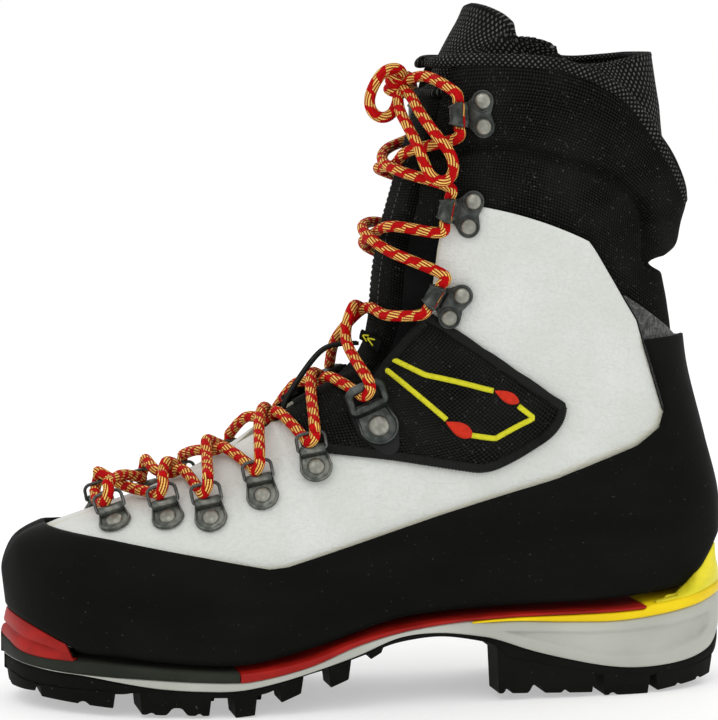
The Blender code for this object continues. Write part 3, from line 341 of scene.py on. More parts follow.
def lengths_uv(grid):
    """Running lengths (mm) along both directions of a grid of points; across it, from its middle."""
    across = np.linalg.norm(np.diff(grid, axis=1), axis=-1)
    v = np.concatenate([np.zeros((grid.shape[0], 1)), np.cumsum(across, axis=1)], axis=1)
    v = v - v[:, grid.shape[1] // 2][:, None]
    along = np.linalg.norm(np.diff(grid, axis=0), axis=-1).mean(axis=1)
    u = np.concatenate([[0.0], np.cumsum(along)])[:, None] + np.zeros_like(v)
    return np.stack([u, v], -1)


def spaced(limits, count):
    """Fractions between the limits, closer together at both ends, where panels are rounded."""
    t = np.linspace(0.0, 1.0, count)
    t = t - 0.06 * np.sin(2 * np.pi * t)
    low, high = limits
    return low[:, None] + (high - low)[:, None] * t[None, :]


def thicken(obj, thickness):
    """Gives a sheet its thickness (mm), behind its face."""
    solid = obj.modifiers.new("thickness", "SOLIDIFY")
    solid.thickness = thickness * MM
    solid.offset = -1.0


def soften(obj, width, segments=2, angle=50):
    """Rounds edges sharper than an angle in degrees, to a width in mm."""
    edge = obj.modifiers.new("edge", "BEVEL")
    edge.width = width * MM
    edge.segments = segments
    edge.limit_method = "ANGLE"
    edge.angle_limit = math.radians(angle)


def shell(name, us, limits, off, thickness, rows=26, sides=(LATERAL, MEDIAL), bevel=0.35, taper=(0.0, 1.0),
          mark=None, warp=None):
    """A panel: a fine patch between limits(us, side), at off(u, s, side) from the surface, with a thickness.

    taper is how far its edges sink, and over what width. mark(u, s, side, low, high) fills the attribute
    "edge" from the distances to the panel's own edges. warp(u, s, side) moves the stations.
    """
    verts, faces, uvs, marks = [], [], [], []
    for side in sides:
        low, high = limits(us, side)
        s = spaced((low, high), rows)
        u = np.broadcast_to(us[:, None], s.shape)
        side_of = np.full(s.shape, side)
        u = warp(u, s, side_of) if warp else u
        run = lengths_uv(lifted(u, s, side_of, 0.0))[..., 1]
        run = run - run[:, :1]
        from_high = run[:, -1:] - run
        out = off(u, s, side_of) if callable(off) else off
        out = out - taper[0] * (1 - smooth(0.0, taper[1], np.minimum(run, from_high)))
        grid = lifted(u, s, side_of, out)
        faces += grid_faces(len(us), rows, sum(map(len, verts)), flip=side == LATERAL)
        verts.append(grid.reshape(-1, 3))
        uvs.append(lengths_uv(grid).reshape(-1, 2))
        marks.append((mark(u, s, side, run, from_high) if mark else np.minimum(run, from_high)).ravel())
    obj = mesh_object(name, np.vstack(verts), faces, np.vstack(uvs))
    edge_of = obj.data.attributes.new("edge", "FLOAT", "POINT")
    edge_of.data.foreach_set("value", np.concatenate(marks).astype(np.float32))
    weld(obj)
    thicken(obj, thickness)
    soften(obj, bevel)
    return obj


def columns(*stops):
    """Stations from (start, end, number per unit) stretches."""
    made = [np.linspace(a, b, max(2, round((b - a) * n)), endpoint=False) for a, b, n in stops]
    return np.concatenate(made + [[stops[-1][1]]])


def sweep(name, path, radius, sides=10, closed=False, out=None, flat=1.0):
    """A round tube along points (mm). Its radius may change; flat squashes it along out, its outer side."""
    path = np.asarray(path, float)
    if closed:
        tangent = np.roll(path, -1, 0) - np.roll(path, 1, 0)
    else:
        tangent = np.gradient(path, axis=0)
    tangent /= np.linalg.norm(tangent, axis=1, keepdims=True) + 1e-12
    normal = np.zeros_like(path)
    seed = np.eye(3)[np.argmin(np.abs(tangent[0]))]
    n = seed - tangent[0] * (seed @ tangent[0])
    for i, t in enumerate(tangent):
        n = np.cross(t, out) if out is not None else n - t * (n @ t)
        n /= np.linalg.norm(n) + 1e-12
        normal[i] = n
    binormal = np.cross(tangent, normal)
    angle = np.linspace(0, 2 * np.pi, sides, endpoint=False)
    r = np.broadcast_to(radius, len(path))[:, None, None]
    cosine, sine = np.cos(angle)[None, :, None], np.sin(angle)[None, :, None]
    ring = normal[:, None] * cosine + binormal[:, None] * sine * flat
    verts = path[:, None] + ring * r
    run = lengths_along(path)
    rows = len(path)
    faces = grid_faces(rows, sides, wrap=True, flip=True)
    if closed:
        last = (rows - 1) * sides
        faces += [(last + j, j, (j + 1) % sides, last + (j + 1) % sides) for j in range(sides)]
    else:
        faces += [tuple(range(sides)), tuple(range(rows * sides - 1, rows * sides - sides - 1, -1))]
    obj = mesh_object(name, verts.reshape(-1, 3), faces)
    layer = obj.data.uv_layers.new(name="UVMap")
    for poly in obj.data.polygons:
        wrap_seam = len(poly.vertices) == 4 and {v % sides for v in poly.vertices} == {0, sides - 1}
        for loop in poly.loop_indices:
            v = obj.data.loops[loop].vertex_index
            j = v % sides
            layer.data[loop].uv = (run[v // sides], 1.0 if wrap_seam and j == 0 else j / sides)
    return obj


def joined(name, objects):
    """Several mesh objects as one, keeping their materials."""
    bm = bmesh.new()
    materials = []
    for obj in objects:
        if obj.name not in bpy.context.scene.collection.objects:
            bpy.context.scene.collection.objects.link(obj)
    bpy.context.view_layer.update()
    graph = bpy.context.evaluated_depsgraph_get()
    for obj in objects:
        mesh = bpy.data.meshes.new_from_object(obj.evaluated_get(graph))
        mesh.transform(obj.matrix_world)
        for m in obj.data.materials:
            if m not in materials:
                materials.append(m)
        lookup = [materials.index(m) for m in obj.data.materials] or [0]
        for poly in mesh.polygons:
            poly.material_index = lookup[min(poly.material_index, len(lookup) - 1)]
        bm.from_mesh(mesh)
        bpy.data.meshes.remove(mesh)
    data = bpy.data.meshes.new(name)
    bm.to_mesh(data)
    bm.free()
    for m in materials:
        data.materials.append(m)
    for obj in objects:
        bpy.data.objects.remove(obj, do_unlink=True)
    return bpy.data.objects.new(name, data)


# Materials ---------------------------------------------------------------------------------------

class Finish:
    """A procedural material: a Principled shader and the nodes that feed it. Patterns are in millimetres."""

    def __init__(self, name, **sockets):
        self.data = bpy.data.materials.new(name)
        self.data.use_nodes = True
        self.nodes, self.links = self.data.node_tree.nodes, self.data.node_tree.links
        self.shader = self.nodes["Principled BSDF"]
        for key, value in sockets.items():
            self.shader.inputs[key.replace("_", " ")].default_value = value
        place = self.nodes.new("ShaderNodeTexCoord")
        self.solid = self.scaled(place.outputs["Object"], 1000.0)
        self.flat = place.outputs["UV"]

    def feed(self, socket, value):
        if isinstance(value, bpy.types.NodeSocket):
            self.links.new(value, socket)
        else:
            socket.default_value = value

    def scaled(self, vector, scale):
        node = self.nodes.new("ShaderNodeVectorMath")
        node.operation = "MULTIPLY"
        self.feed(node.inputs[0], vector)
        node.inputs[1].default_value = (scale,) * 3 if isinstance(scale, float) else scale
        return node.outputs[0]

    def axes(self, vector):
        node = self.nodes.new("ShaderNodeSeparateXYZ")
        self.feed(node.inputs[0], vector)
        return node.outputs

    def math(self, operation, *values):
        node = self.nodes.new("ShaderNodeMath")
        node.operation = operation
        for socket, value in zip(node.inputs, values):
            self.feed(socket, value)
        return node.outputs[0]

    def noise(self, size, detail=3.0, stretch=None):
        node = self.nodes.new("ShaderNodeTexNoise")
        self.feed(node.inputs["Vector"], self.scaled(self.solid, stretch) if stretch else self.solid)
        node.inputs["Scale"].default_value = 1.0 / size
        node.inputs["Detail"].default_value = detail
        return node.outputs["Fac"]

    def cells(self, size):
        node = self.nodes.new("ShaderNodeTexVoronoi")
        node.feature = "SMOOTH_F1"
        self.feed(node.inputs["Vector"], self.solid)
        node.inputs["Scale"].default_value = 1.0 / size
        return node.outputs["Distance"]

    def ramp(self, value, low, high, to_low=0.0, to_high=1.0):
        node = self.nodes.new("ShaderNodeMapRange")
        node.interpolation_type = "SMOOTHSTEP"
        for socket, v in zip(node.inputs, (value, low, high, to_low, to_high)):
            self.feed(socket, v)
        return node.outputs[0]

    def mix(self, factor, a, b):
        node = self.nodes.new("ShaderNodeMix")
        node.data_type = "RGBA"
        self.feed(node.inputs[0], factor)
        self.feed(node.inputs[6], a if isinstance(a, bpy.types.NodeSocket) else (*a, 1.0))
        self.feed(node.inputs[7], b if isinstance(b, bpy.types.NodeSocket) else (*b, 1.0))
        return node.outputs[2]

    def mark(self, name):
        node = self.nodes.new("ShaderNodeAttribute")
        node.attribute_name = name
        return node.outputs["Fac"]

    def bump(self, height, depth, normal=None):
        """Bump whose full height is depth millimetres."""
        node = self.nodes.new("ShaderNodeBump")
        node.inputs["Distance"].default_value = depth * MM
        self.feed(node.inputs["Height"], height)
        if normal is not None:
            self.feed(node.inputs["Normal"], normal)
        return node.outputs[0]

    def finish(self, colour, roughness=None, normal=None):
        self.feed(self.shader.inputs["Base Color"], colour)
        if roughness is not None:
            self.feed(self.shader.inputs["Roughness"], roughness)
        if normal is not None:
            self.feed(self.shader.inputs["Normal"], normal)
        return self.data


def leather_finish():
    """White full-grain leather: fine pebbled grain, faint creases and greyer hollows."""
    f = Finish("white_leather", Specular_IOR_Level=0.35, Sheen_Weight=0.08)
    pebbles = f.cells(1.15)
    pores = f.noise(0.42, 2.0)
    swells = f.noise(9.0, 3.0)
    folds = f.math("SUBTRACT", f.noise(5.0, 4.0, (1.0, 1.0, 2.2)), 0.5)
    creases = f.ramp(f.math("ABSOLUTE", folds), 0.0, 0.05)
    tone = f.mix(f.ramp(f.noise(26.0, 4.0), 0.35, 0.7), (0.60, 0.615, 0.575), (0.655, 0.668, 0.635))
    tone = f.mix(f.ramp(pebbles, 0.25, 0.75, 0.0, 0.28), tone, (0.52, 0.53, 0.50))
    tone = f.mix(f.ramp(pores, 0.62, 0.8, 0.0, 0.22), tone, (0.44, 0.45, 0.42))
    tone = f.mix(f.ramp(f.mark("edge"), 0.4, 1.9, 0.55, 0.0), tone, (0.52, 0.50, 0.34))
    height = f.bump(pebbles, 0.16)
    height = f.bump(pores, 0.05, height)
    height = f.bump(creases, 0.07, height)
    height = f.bump(swells, 0.5, height)
    return f.finish(tone, f.ramp(pores, 0.3, 0.8, 0.50, 0.66), height)


def rubber_finish(name, low, high, grain=0.05, rough=(0.55, 0.72), dust=0.25, shine=0.05):
    """Matt moulded rubber: fine skin texture, smears and a little pale dust."""
    f = Finish(name, Specular_IOR_Level=shine)
    skin = f.noise(0.55, 3.0)
    smear = f.noise(24.0, 5.0, (0.5, 1.0, 1.3))
    specks = f.ramp(f.noise(1.3, 1.0), 0.74, 0.80)
    tone = f.mix(f.ramp(smear, 0.3, 0.72), low, high)
    tone = f.mix(f.math("MULTIPLY", specks, dust), tone, (0.12, 0.12, 0.10))
    height = f.bump(skin, grain)
    height = f.bump(smear, 0.35, height)
    return f.finish(tone, f.ramp(smear, 0.3, 0.75, *rough), height)


def plastic_finish(name, low, high, rough=0.38):
    """Satin moulded plastic with faint flow marks."""
    f = Finish(name, Specular_IOR_Level=0.16)
    flow = f.noise(14.0, 3.0, (0.6, 1.0, 1.6))
    skin = f.noise(0.8, 2.0)
    tone = f.mix(f.ramp(flow, 0.3, 0.7), low, high)
    tone = f.mix(f.ramp(skin, 0.62, 0.8, 0.0, 0.12), tone, tuple(0.6 * c for c in low))
    return f.finish(tone, f.ramp(flow, 0.2, 0.8, rough - 0.06, rough + 0.1), f.bump(skin, 0.04))


def weave_height(f, pitch):
    """Height of a plain weave whose yarns are pitch millimetres apart, on the panel's own lengths."""
    x, y, _ = f.axes(f.scaled(f.flat, 1.0 / pitch))
    over = f.math("MODULO", f.math("ADD", f.math("FLOOR", x), f.math("FLOOR", y)), 2.0)
    over = f.math("ABSOLUTE", over)
    warp = f.math("ABSOLUTE", f.math("SINE", f.math("MULTIPLY", x, math.pi)))
    weft = f.math("ABSOLUTE", f.math("SINE", f.math("MULTIPLY", y, math.pi)))
    long_warp = f.math("MULTIPLY", warp, f.math("ADD", 0.45, f.math("MULTIPLY", weft, 0.55)))
    long_weft = f.math("MULTIPLY", weft, f.math("ADD", 0.45, f.math("MULTIPLY", warp, 0.55)))
    chosen = f.math("MULTIPLY", long_warp, over)
    other = f.math("MULTIPLY", long_weft, f.math("SUBTRACT", 1.0, over))
    return f.math("ADD", chosen, other)


def fabric_finish(name, low, high, pitch=0.95, fuzz=0.12):
    """Hard-wearing plain-weave fabric with stray pale fibres. Its yarn crests are painted lighter and the
    gaps between yarns darker: a painted highlight and painted shade.
    """
    f = Finish(name, Specular_IOR_Level=0.03)
    weave = weave_height(f, pitch)
    patch = f.noise(17.0, 4.0)
    lint = f.ramp(f.noise(0.9, 2.0), 0.64, 0.80)
    # painted highlight and painted shade: the yarn crests take the lighter colour, the gaps between yarns
    # the darker one
    tone = f.mix(f.ramp(weave, 0.25, 0.9), low, high)
    tone = f.mix(f.ramp(patch, 0.3, 0.75, 0.0, 0.35), tone, tuple(1.6 * c for c in high))
    tone = f.mix(f.math("MULTIPLY", lint, fuzz), tone, (0.16, 0.16, 0.17))
    height = f.bump(weave, 0.28)
    return f.finish(tone, f.ramp(patch, 0.2, 0.8, 0.82, 0.95), height)


def dotted_finish():
    """Charcoal knit with staggered pale dots. Its yarn crests are painted lighter than the gaps between
    them: a painted highlight and painted shade.
    """
    f = Finish("dotted_knit", Specular_IOR_Level=0.04)
    x, y, _ = f.axes(f.scaled(f.flat, 1.0 / 2.35))
    distances = []
    for shift in (0.0, 0.5):
        a = f.math("SUBTRACT", f.math("FRACT", f.math("ADD", x, shift)), 0.5)
        b = f.math("SUBTRACT", f.math("FRACT", f.math("ADD", y, shift)), 0.5)
        squares = f.math("ADD", f.math("MULTIPLY", a, a), f.math("MULTIPLY", b, b))
        distances.append(f.math("SQRT", squares))
    nearest = f.math("MINIMUM", *distances)
    dot = f.ramp(nearest, 0.15, 0.25, 1.0, 0.0)
    knit = weave_height(f, 0.7)
    wear = f.ramp(f.noise(7.0, 4.0), 0.3, 0.7, 0.55, 1.0)
    # painted highlight and painted shade: the knit's crests lighter, its gaps darker
    ground = f.mix(knit, (0.0025, 0.0027, 0.0024), (0.0085, 0.0088, 0.0080))
    tone = f.mix(f.math("MULTIPLY", dot, wear), ground, (0.105, 0.108, 0.100))
    height = f.bump(knit, 0.12)
    height = f.bump(dot, 0.22, height)
    return f.finish(tone, f.ramp(knit, 0.0, 1.0, 0.95, 0.8), height)


def felt_finish():
    """Grey pressed felt."""
    f = Finish("grey_felt", Specular_IOR_Level=0.15, Sheen_Weight=0.3, Sheen_Roughness=0.6)
    fibres = f.noise(0.9, 6.0, (1.0, 1.0, 0.25))
    crossing = f.noise(0.9, 6.0, (0.25, 1.0, 1.0))
    both = f.math("MAXIMUM", fibres, crossing)
    tone = f.mix(f.ramp(both, 0.42, 0.75), (0.012, 0.012, 0.012), (0.11, 0.11, 0.105))
    return f.finish(tone, f.ramp(both, 0.4, 0.8, 0.98, 0.85), f.bump(both, 0.3))


def metal_finish(name, low, high, rough, pit=0.05):
    """Plated metal with fine pits, rubbed bright in places."""
    f = Finish(name, Metallic=0.92)
    pits = f.noise(0.38, 3.0)
    rubbed = f.noise(3.2, 5.0)
    brushed = f.noise(0.5, 2.0, (0.35, 1.0, 2.6))
    tone = f.mix(f.ramp(rubbed, 0.35, 0.72), low, high)
    tone = f.mix(f.ramp(pits, 0.62, 0.8, 0.0, 0.5), tone, tuple(0.45 * c for c in low))
    height = f.bump(pits, pit)
    height = f.bump(brushed, 0.03, height)
    return f.finish(tone, f.ramp(rubbed, 0.25, 0.8, rough + 0.12, rough - 0.06), height)


def thread_finish(name, low, high, pitch=0.55):
    """Satin-stitched thread: fine ridges across the line that it follows. Their crests are painted lighter
    and the grooves darker: a painted highlight and painted shade.
    """
    f = Finish(name, Specular_IOR_Level=0.12, Sheen_Weight=0.03)
    x, y, _ = f.axes(f.flat)
    slant = f.math("ADD", f.math("MULTIPLY", x, 2 * math.pi / pitch), f.math("MULTIPLY", y, 1.5))
    ridge = f.math("ABSOLUTE", f.math("SINE", slant))
    # painted highlight on the ridge crests, painted shade in the grooves between them
    tone = f.mix(ridge, low, high)
    tone = f.mix(f.ramp(f.noise(2.2, 3.0), 0.4, 0.8, 0.0, 0.3), tone, tuple(0.5 * c for c in low))
    return f.finish(tone, f.ramp(ridge, 0.0, 1.0, 0.8, 0.55), f.bump(ridge, 0.22))


def lace_finish():
    """Round braid: red, checkered with blocks of cream-yellow tracers edged in dark thread. The grooves
    between its strands are painted darker, a painted shade.
    """
    f = Finish("braided_lace", Specular_IOR_Level=0.05)
    along, turn, _ = f.axes(f.flat)
    twist = f.math("MULTIPLY", along, 0.055)
    lane = f.math("ADD", f.math("MULTIPLY", turn, 4.0), twist)
    block = f.math("ADD", f.math("DIVIDE", along, 5.6), f.math("MULTIPLY", f.math("FRACT", lane), 0.35))
    check = f.math("ADD", f.math("FLOOR", lane), f.math("FLOOR", block))
    check = f.math("MODULO", check, 2.0)
    tracer = f.math("FRACT", f.math("MULTIPLY", f.math("ADD", lane, f.math("MULTIPLY", along, -0.10)), 3.0))
    centre = f.math("ABSOLUTE", f.math("SUBTRACT", tracer, 0.5))
    bright = f.ramp(centre, 0.20, 0.30, 1.0, 0.0)
    dark = f.ramp(centre, 0.34, 0.44)
    fibre = f.noise(0.6, 2.0)
    red = f.mix(fibre, (0.34, 0.002, 0.003), (0.62, 0.006, 0.008))
    stripe = f.mix(bright, (0.48, 0.02, 0.006), (0.90, 0.62, 0.15))
    stripe = f.mix(f.math("MULTIPLY", dark, 0.8), stripe, (0.07, 0.02, 0.01))
    tone = f.mix(check, red, stripe)
    length_phase = f.math("MULTIPLY", along, 4.4)
    turn_phase = f.math("MULTIPLY", turn, 8 * math.pi)
    right = f.math("SINE", f.math("ADD", length_phase, turn_phase))
    left = f.math("SINE", f.math("SUBTRACT", length_phase, turn_phase))
    braid = f.math("MULTIPLY", f.math("ADD", f.math("MULTIPLY", right, left), 1.0), 0.5)
    # painted shade: the grooves between the braid's strands darkened
    tone = f.mix(f.ramp(braid, 0.0, 0.45, 0.45, 0.0), tone, (0.10, 0.004, 0.004))
    return f.finish(tone, f.ramp(fibre, 0.3, 0.7, 0.62, 0.78), f.bump(braid, 0.38))


FINISHES = {
    "leather": leather_finish(),
    "rand": rubber_finish("rand_rubber", (0.0026, 0.0029, 0.0022), (0.0055, 0.0060, 0.0048)),
    "tread": rubber_finish("tread_rubber", (0.0028, 0.0030, 0.0024), (0.0075, 0.0078, 0.0065), 0.12,
                           (0.62, 0.8), 0.4),
    "welt": rubber_finish("welt_rubber", (0.018, 0.020, 0.015), (0.030, 0.032, 0.025), 0.06, (0.5, 0.66)),
    "foam": rubber_finish("foam_rubber", (0.38, 0.39, 0.345), (0.46, 0.47, 0.42), 0.05,
                          (0.5, 0.62), 0.1, 0.3),
    "red": plastic_finish("red_plastic", (0.22, 0.005, 0.003), (0.36, 0.010, 0.006), 0.42),
    "yellow": plastic_finish("yellow_plastic", (0.74, 0.52, 0.002), (0.84, 0.62, 0.004), 0.42),
    "lime": plastic_finish("lime_plastic", (0.66, 0.60, 0.02), (0.84, 0.70, 0.03), 0.45),
    # the two colours of each fabric are painted shade between its yarns and a painted highlight on their
    # crests
    "cuff": fabric_finish("cuff_fabric", (0.0008, 0.0009, 0.0007), (0.0120, 0.0125, 0.0110), 1.25, 0.6),
    "patch": fabric_finish("patch_fabric", (0.0008, 0.0009, 0.0007), (0.0135, 0.0140, 0.0125), 1.35, 0.55),
    "binding": fabric_finish("binding_fabric", (0.003, 0.003, 0.003), (0.012, 0.012, 0.012), 0.6, 0.1),
    "dotted": dotted_finish(),
    "felt": felt_finish(),
    "clip": metal_finish("clip_metal", (0.085, 0.092, 0.080), (0.20, 0.205, 0.180), 0.40, 0.10),
    "gunmetal": metal_finish("gunmetal", (0.040, 0.046, 0.042), (0.085, 0.092, 0.086), 0.42),
    "dark_metal": metal_finish("dark_metal", (0.030, 0.033, 0.029), (0.080, 0.085, 0.076), 0.40),
    "rivet": metal_finish("rivet_metal", (0.20, 0.20, 0.170), (0.34, 0.335, 0.29), 0.36, 0.08),
    "wire": metal_finish("wire_metal", (0.060, 0.064, 0.060), (0.13, 0.135, 0.13), 0.36),
    # each thread's two colours are painted shade in its grooves and a painted highlight on its ridges
    "black_thread": thread_finish("black_thread", (0.0015, 0.0015, 0.0014), (0.014, 0.0145, 0.013), 0.9),
    "yellow_thread": thread_finish("yellow_thread", (0.80, 0.74, 0.01), (1.0, 0.97, 0.04)),
    "red_thread": thread_finish("red_thread", (0.66, 0.018, 0.008), (0.94, 0.05, 0.016)),
    "grey_thread": thread_finish("grey_thread", (0.10, 0.10, 0.10), (0.24, 0.24, 0.23)),
    "lace": lace_finish(),
    "board": rubber_finish("fibre_board", (0.20, 0.16, 0.11), (0.34, 0.27, 0.19), 0.1, (0.8, 0.95), 0.1),
    "plastic_black": rubber_finish("black_plastic", (0.010, 0.010, 0.011), (0.018, 0.018, 0.019), 0.04,
                                   (0.35, 0.5), 0.1),
}


def finish(obj, name):
    obj.data.materials.clear()
    obj.data.materials.append(FINISHES[name])
    return obj


# Edges of the panels, in side view (mm) ----------------------------------------------------------

RAND_TOP = [(-134.0, 78.0), (-131.5, 74.0), (-127.0, 71.0), (-104.0, 68.5), (-72.0, 63.5), (-45.0, 58.8),
            (-38.0, 59.5), (-15.0, 66.0), (27.0, 78.0), (77.0, 91.0), (111.0, 103.5), (121.0, 110.5),
            (123.5, 118.0), (119.0, 132.0), (113.5, 147.0), (150.0, 149.0)]
RAND_FOOT_TOE = [(-150.0, 42.5), (-141.0, 38.0), (-118.0, 26.5), (-112.0, 20.0)]
RAND_FOOT_HEEL = [(116.0, 33.0), (123.0, 36.4), (129.0, 39.8), (135.4, 44.6), (141.9, 51.5), (147.1, 58.8),
                  (150.5, 64.0), (162.0, 67.0)]
LEATHER_FRONT = [(4.0, 128.0), (16.0, 142.0), (25.0, 153.0), (26.5, 172.0), (28.0, 185.0), (33.0, 212.0)]
LEATHER_REAR = [(127.0, 96.0), (124.5, 114.0), (118.5, 132.0), (111.0, 155.0), (105.5, 163.0), (92.0, 184.0)]
LINING_FOOT = [(-150.0, 46.0), (-120.0, 40.0), (-54.0, 37.0), (-10.0, 46.0), (30.0, 52.0), (160.0, 56.0)]
PATCH_CORNERS = [(-60.0, 118.0), (-44.5, 108.0), (-26.0, 104.0), (-5.0, 101.5), (11.0, 99.5), (36.0, 95.5),
              (46.5, 94.5), (56.0, 97.5), (71.5, 106.0), (78.0, 112.5), (80.0, 119.0), (78.5, 125.0),
              (73.5, 131.5), (65.0, 138.5), (52.5, 145.5), (40.0, 152.0), (29.0, 157.0), (0.0, 160.0)]
PATCH_EDGE = rounded(PATCH_CORNERS, 5)
RAND_AREA = (RAND_TOP + [(175.0, 149.0), (175.0, 62.0)] + RAND_FOOT_HEEL[::-1]
             + [(116.0, 5.0), (-112.0, 5.0)] + RAND_FOOT_TOE[::-1] + [(-175.0, 50.0), (-175.0, 78.0)])
RAND_TOP_AREA = RAND_TOP + [(175.0, 149.0), (175.0, 0.0), (-175.0, 0.0), (-175.0, 78.0)]
LEATHER_AREA = (LEATHER_FRONT + [(60.0, 225.0)] + LEATHER_REAR[::-1]
                + [(175.0, 96.0), (175.0, 5.0), (-175.0, 5.0), (-175.0, 160.0), (-10.0, 140.0)])
FELT_AREA = [(x + 1.2, z) for x, z in LEATHER_REAR] + [(92.0, 230.0), (190.0, 230.0), (190.0, 96.0)]
LINING_AREA = LINING_FOOT + [(175.0, 60.0), (175.0, 300.0), (-175.0, 300.0), (-175.0, 46.0)]
BOTTOM_S = 0.02  # fraction where panels start above the sole
REAR_START = 0.17  # fraction where the leather starts behind the ankle
PATCH_LAP = 0.022  # how far, as a fraction, the patch laps over the leather's front edge


def eye_s(u, side, extra=0.0):
    """Where a panel stops at the opening for the tongue."""
    half = np.maximum(np.interp(u, EYE_HALF[:, 0], EYE_HALF[:, 1]) + extra, 0.05)
    return np.where(u <= THROAT_U, 1.0, s_at_half(u, side, half))


def area_limits(area):
    def limits(u, side):
        low, high, _ = spans(u, area, side)
        floor = np.where(widths(rows_at(u), side)[0] > 0.3, BOTTOM_S, 0.0)
        return np.maximum(low, floor), high
    return limits


def leather_limits(u, side):
    low, high = area_limits(LEATHER_AREA)(u, side)
    low = np.where((u >= 13.4) & (u < 14.0), REAR_START * np.clip((u - 13.4) / 0.6, 0, 1) ** 1.5, low)
    return low, np.minimum(np.minimum(high, eye_s(u, side)), np.where(u < 0.1, 0.85, 1.0))


def patch_limits(u, side):
    low, high, _ = spans(u, PATCH_EDGE, side)
    front = np.minimum(spans(u, LEATHER_AREA, side)[1] + PATCH_LAP, eye_s(u, side) + 0.004)
    return low, np.minimum(high, front)


def stay_limits(u, side):
    front = np.minimum(spans(u, LEATHER_AREA, side)[1], eye_s(u, side))
    return front - 0.07, eye_s(u, side, 0.4)


def lining_limits(u, side):
    low = area_limits(LINING_AREA)(u, side)[0]
    most = widths(rows_at(u), side)[1]
    narrow = s_at_half(u, side, most * (0.3 + 0.55 * smooth(THROAT_U, THROAT_U + 0.8, u)))
    return low, np.where(u <= THROAT_U, 1.0, narrow)


def tongue_edge(u, side):
    return eye_s(np.maximum(u, 6.0), side, 6.0)


def tongue_limits(u, side):
    return tongue_edge(u, side), np.ones_like(u)


# The upper ---------------------------------------------------------------------------------------

TOE_COLUMNS = (0.0, 1.0, 26), (1.0, 3.0, 14), (3.0, 9.4, 12), (9.4, 12.4, 22)


def leather_mark(u, s, side, _, high):
    """Distance from the rand's top edge, or from the leather's own upper edge."""
    rand_top, found = spans(u[:, 0], RAND_TOP_AREA, side)[1:]
    run = np.maximum(s - np.where(found, rand_top, -1.0)[:, None], 0.0) * SECTION_RUN
    return np.minimum(run + 0.1, high + 0.1)


def make_leather():
    def offset(u, s, side):
        seam = np.exp(-((u - 5.9) / 0.05) ** 2) * smooth(0.80, 0.86, s) * 0.9
        return -3.0 * (1 - smooth(0.4, 1.5, u)) + seam

    us = columns(*TOE_COLUMNS, (12.4, 14.0, 16), (14.0, 16.0, 16))
    obj = shell("leather", us, leather_limits, offset, 1.8, rows=70, mark=leather_mark, taper=(0.5, 1.6))
    link(finish(obj, "leather"), replaces=["leather_upper"])


def make_rand():
    us = columns((0.0, 1.0, 30), (1.0, 3.0, 18), (3.0, 9.4, 14), (9.4, 12.4, 26), (12.4, 15.5, 22))
    obj = shell("rand_rubber", us, area_limits(RAND_AREA), 2.8, 1.7, rows=40, taper=(0.75, 2.2))
    link(finish(obj, "rand"), replaces=["rand"])


def make_felt():
    obj = shell("heel_felt_strip", columns((14.0, 15.46, 20)), area_limits(FELT_AREA), -0.2, 1.6, rows=20)
    link(finish(obj, "felt"), replaces=["heel_felt"])


def make_patches():
    for side, name in SIDES:
        obj = shell("patch_" + name, columns((6.2, 12.9, 14)), patch_limits, 1.7, 1.0, rows=44,
                    sides=(side,))
        link(finish(obj, "patch"), replaces=["ankle_patch_" + name])
        border = patch_border(side)
        serrated = 1.85 + 0.22 * np.sin(np.arange(len(border)) * 2.1)
        piece = sweep("patch_border_" + name, border, serrated, sides=10, flat=0.42, out=(0.0, side, 0.2))
        link(finish(piece, "black_thread"))


def along_s(u, side, s, shift):
    """The fraction this many millimetres further up the section."""
    a = surface(u, np.clip(s - 0.004, 0, 1), side)
    b = surface(u, np.clip(s + 0.004, 0, 1), side)
    rate = np.linalg.norm(b - a, axis=-1) / (np.clip(s + 0.004, 0, 1) - np.clip(s - 0.004, 0, 1))
    return np.clip(s + shift / rate, 0.0, 1.0)


def patch_border(side):
    """Points round the patch's lower edge and back along its front edge, a little inside it."""
    us = np.linspace(6.35, 12.8, 420)
    low, high = patch_limits(us, side)
    sides = np.full(us.shape, side)
    foot = lifted(us, along_s(us, sides, low, 1.75), sides, 2.1)
    rear = np.linspace(0.02, 0.98, 12)
    last_low, last_high = along_s(us, sides, low, 1.75)[-1], along_s(us, sides, high, -1.75)[-1]
    back = lifted(np.full(12, us[-1]), last_low + (last_high - last_low) * rear, np.full(12, side), 2.1)
    front = lifted(us, along_s(us, sides, high, -1.75), sides, 2.1)
    return np.vstack([foot, back, front[::-1]])


def make_stays():
    for side, name in SIDES:
        obj = shell("stay_" + name, columns((7.8, 15.2, 12)), stay_limits, -2.6, 1.6, rows=10, sides=(side,))
        link(finish(obj, "binding"), replaces=["eyestay_" + name])


CUFF_CREASE = [(20.0, 222.0), (38.6, 225.0), (55.0, 226.0), (76.0, 220.8), (92.8, 215.8), (105.5, 208.5),
               (114.0, 198.0), (115.5, 184.0), (121.0, 178.0), (140.0, 176.5)]
ANKLE_CREASE = [(30.0, 178.0), (52.0, 186.0), (74.0, 190.0), (98.0, 186.0), (112.0, 176.0)]


def distance_to(line, x, z):
    """Distance of side-view points from a line."""
    line = rounded(line, 5)
    best = np.full(x.shape, 1e9)
    for (x0, z0), (x1, z1) in zip(line, line[1:]):
        dx, dz = x1 - x0, z1 - z0
        t = np.clip(((x - x0) * dx + (z - z0) * dz) / (dx * dx + dz * dz), 0, 1)
        best = np.minimum(best, np.hypot(x - x0 - t * dx, z - z0 - t * dz))
    return best


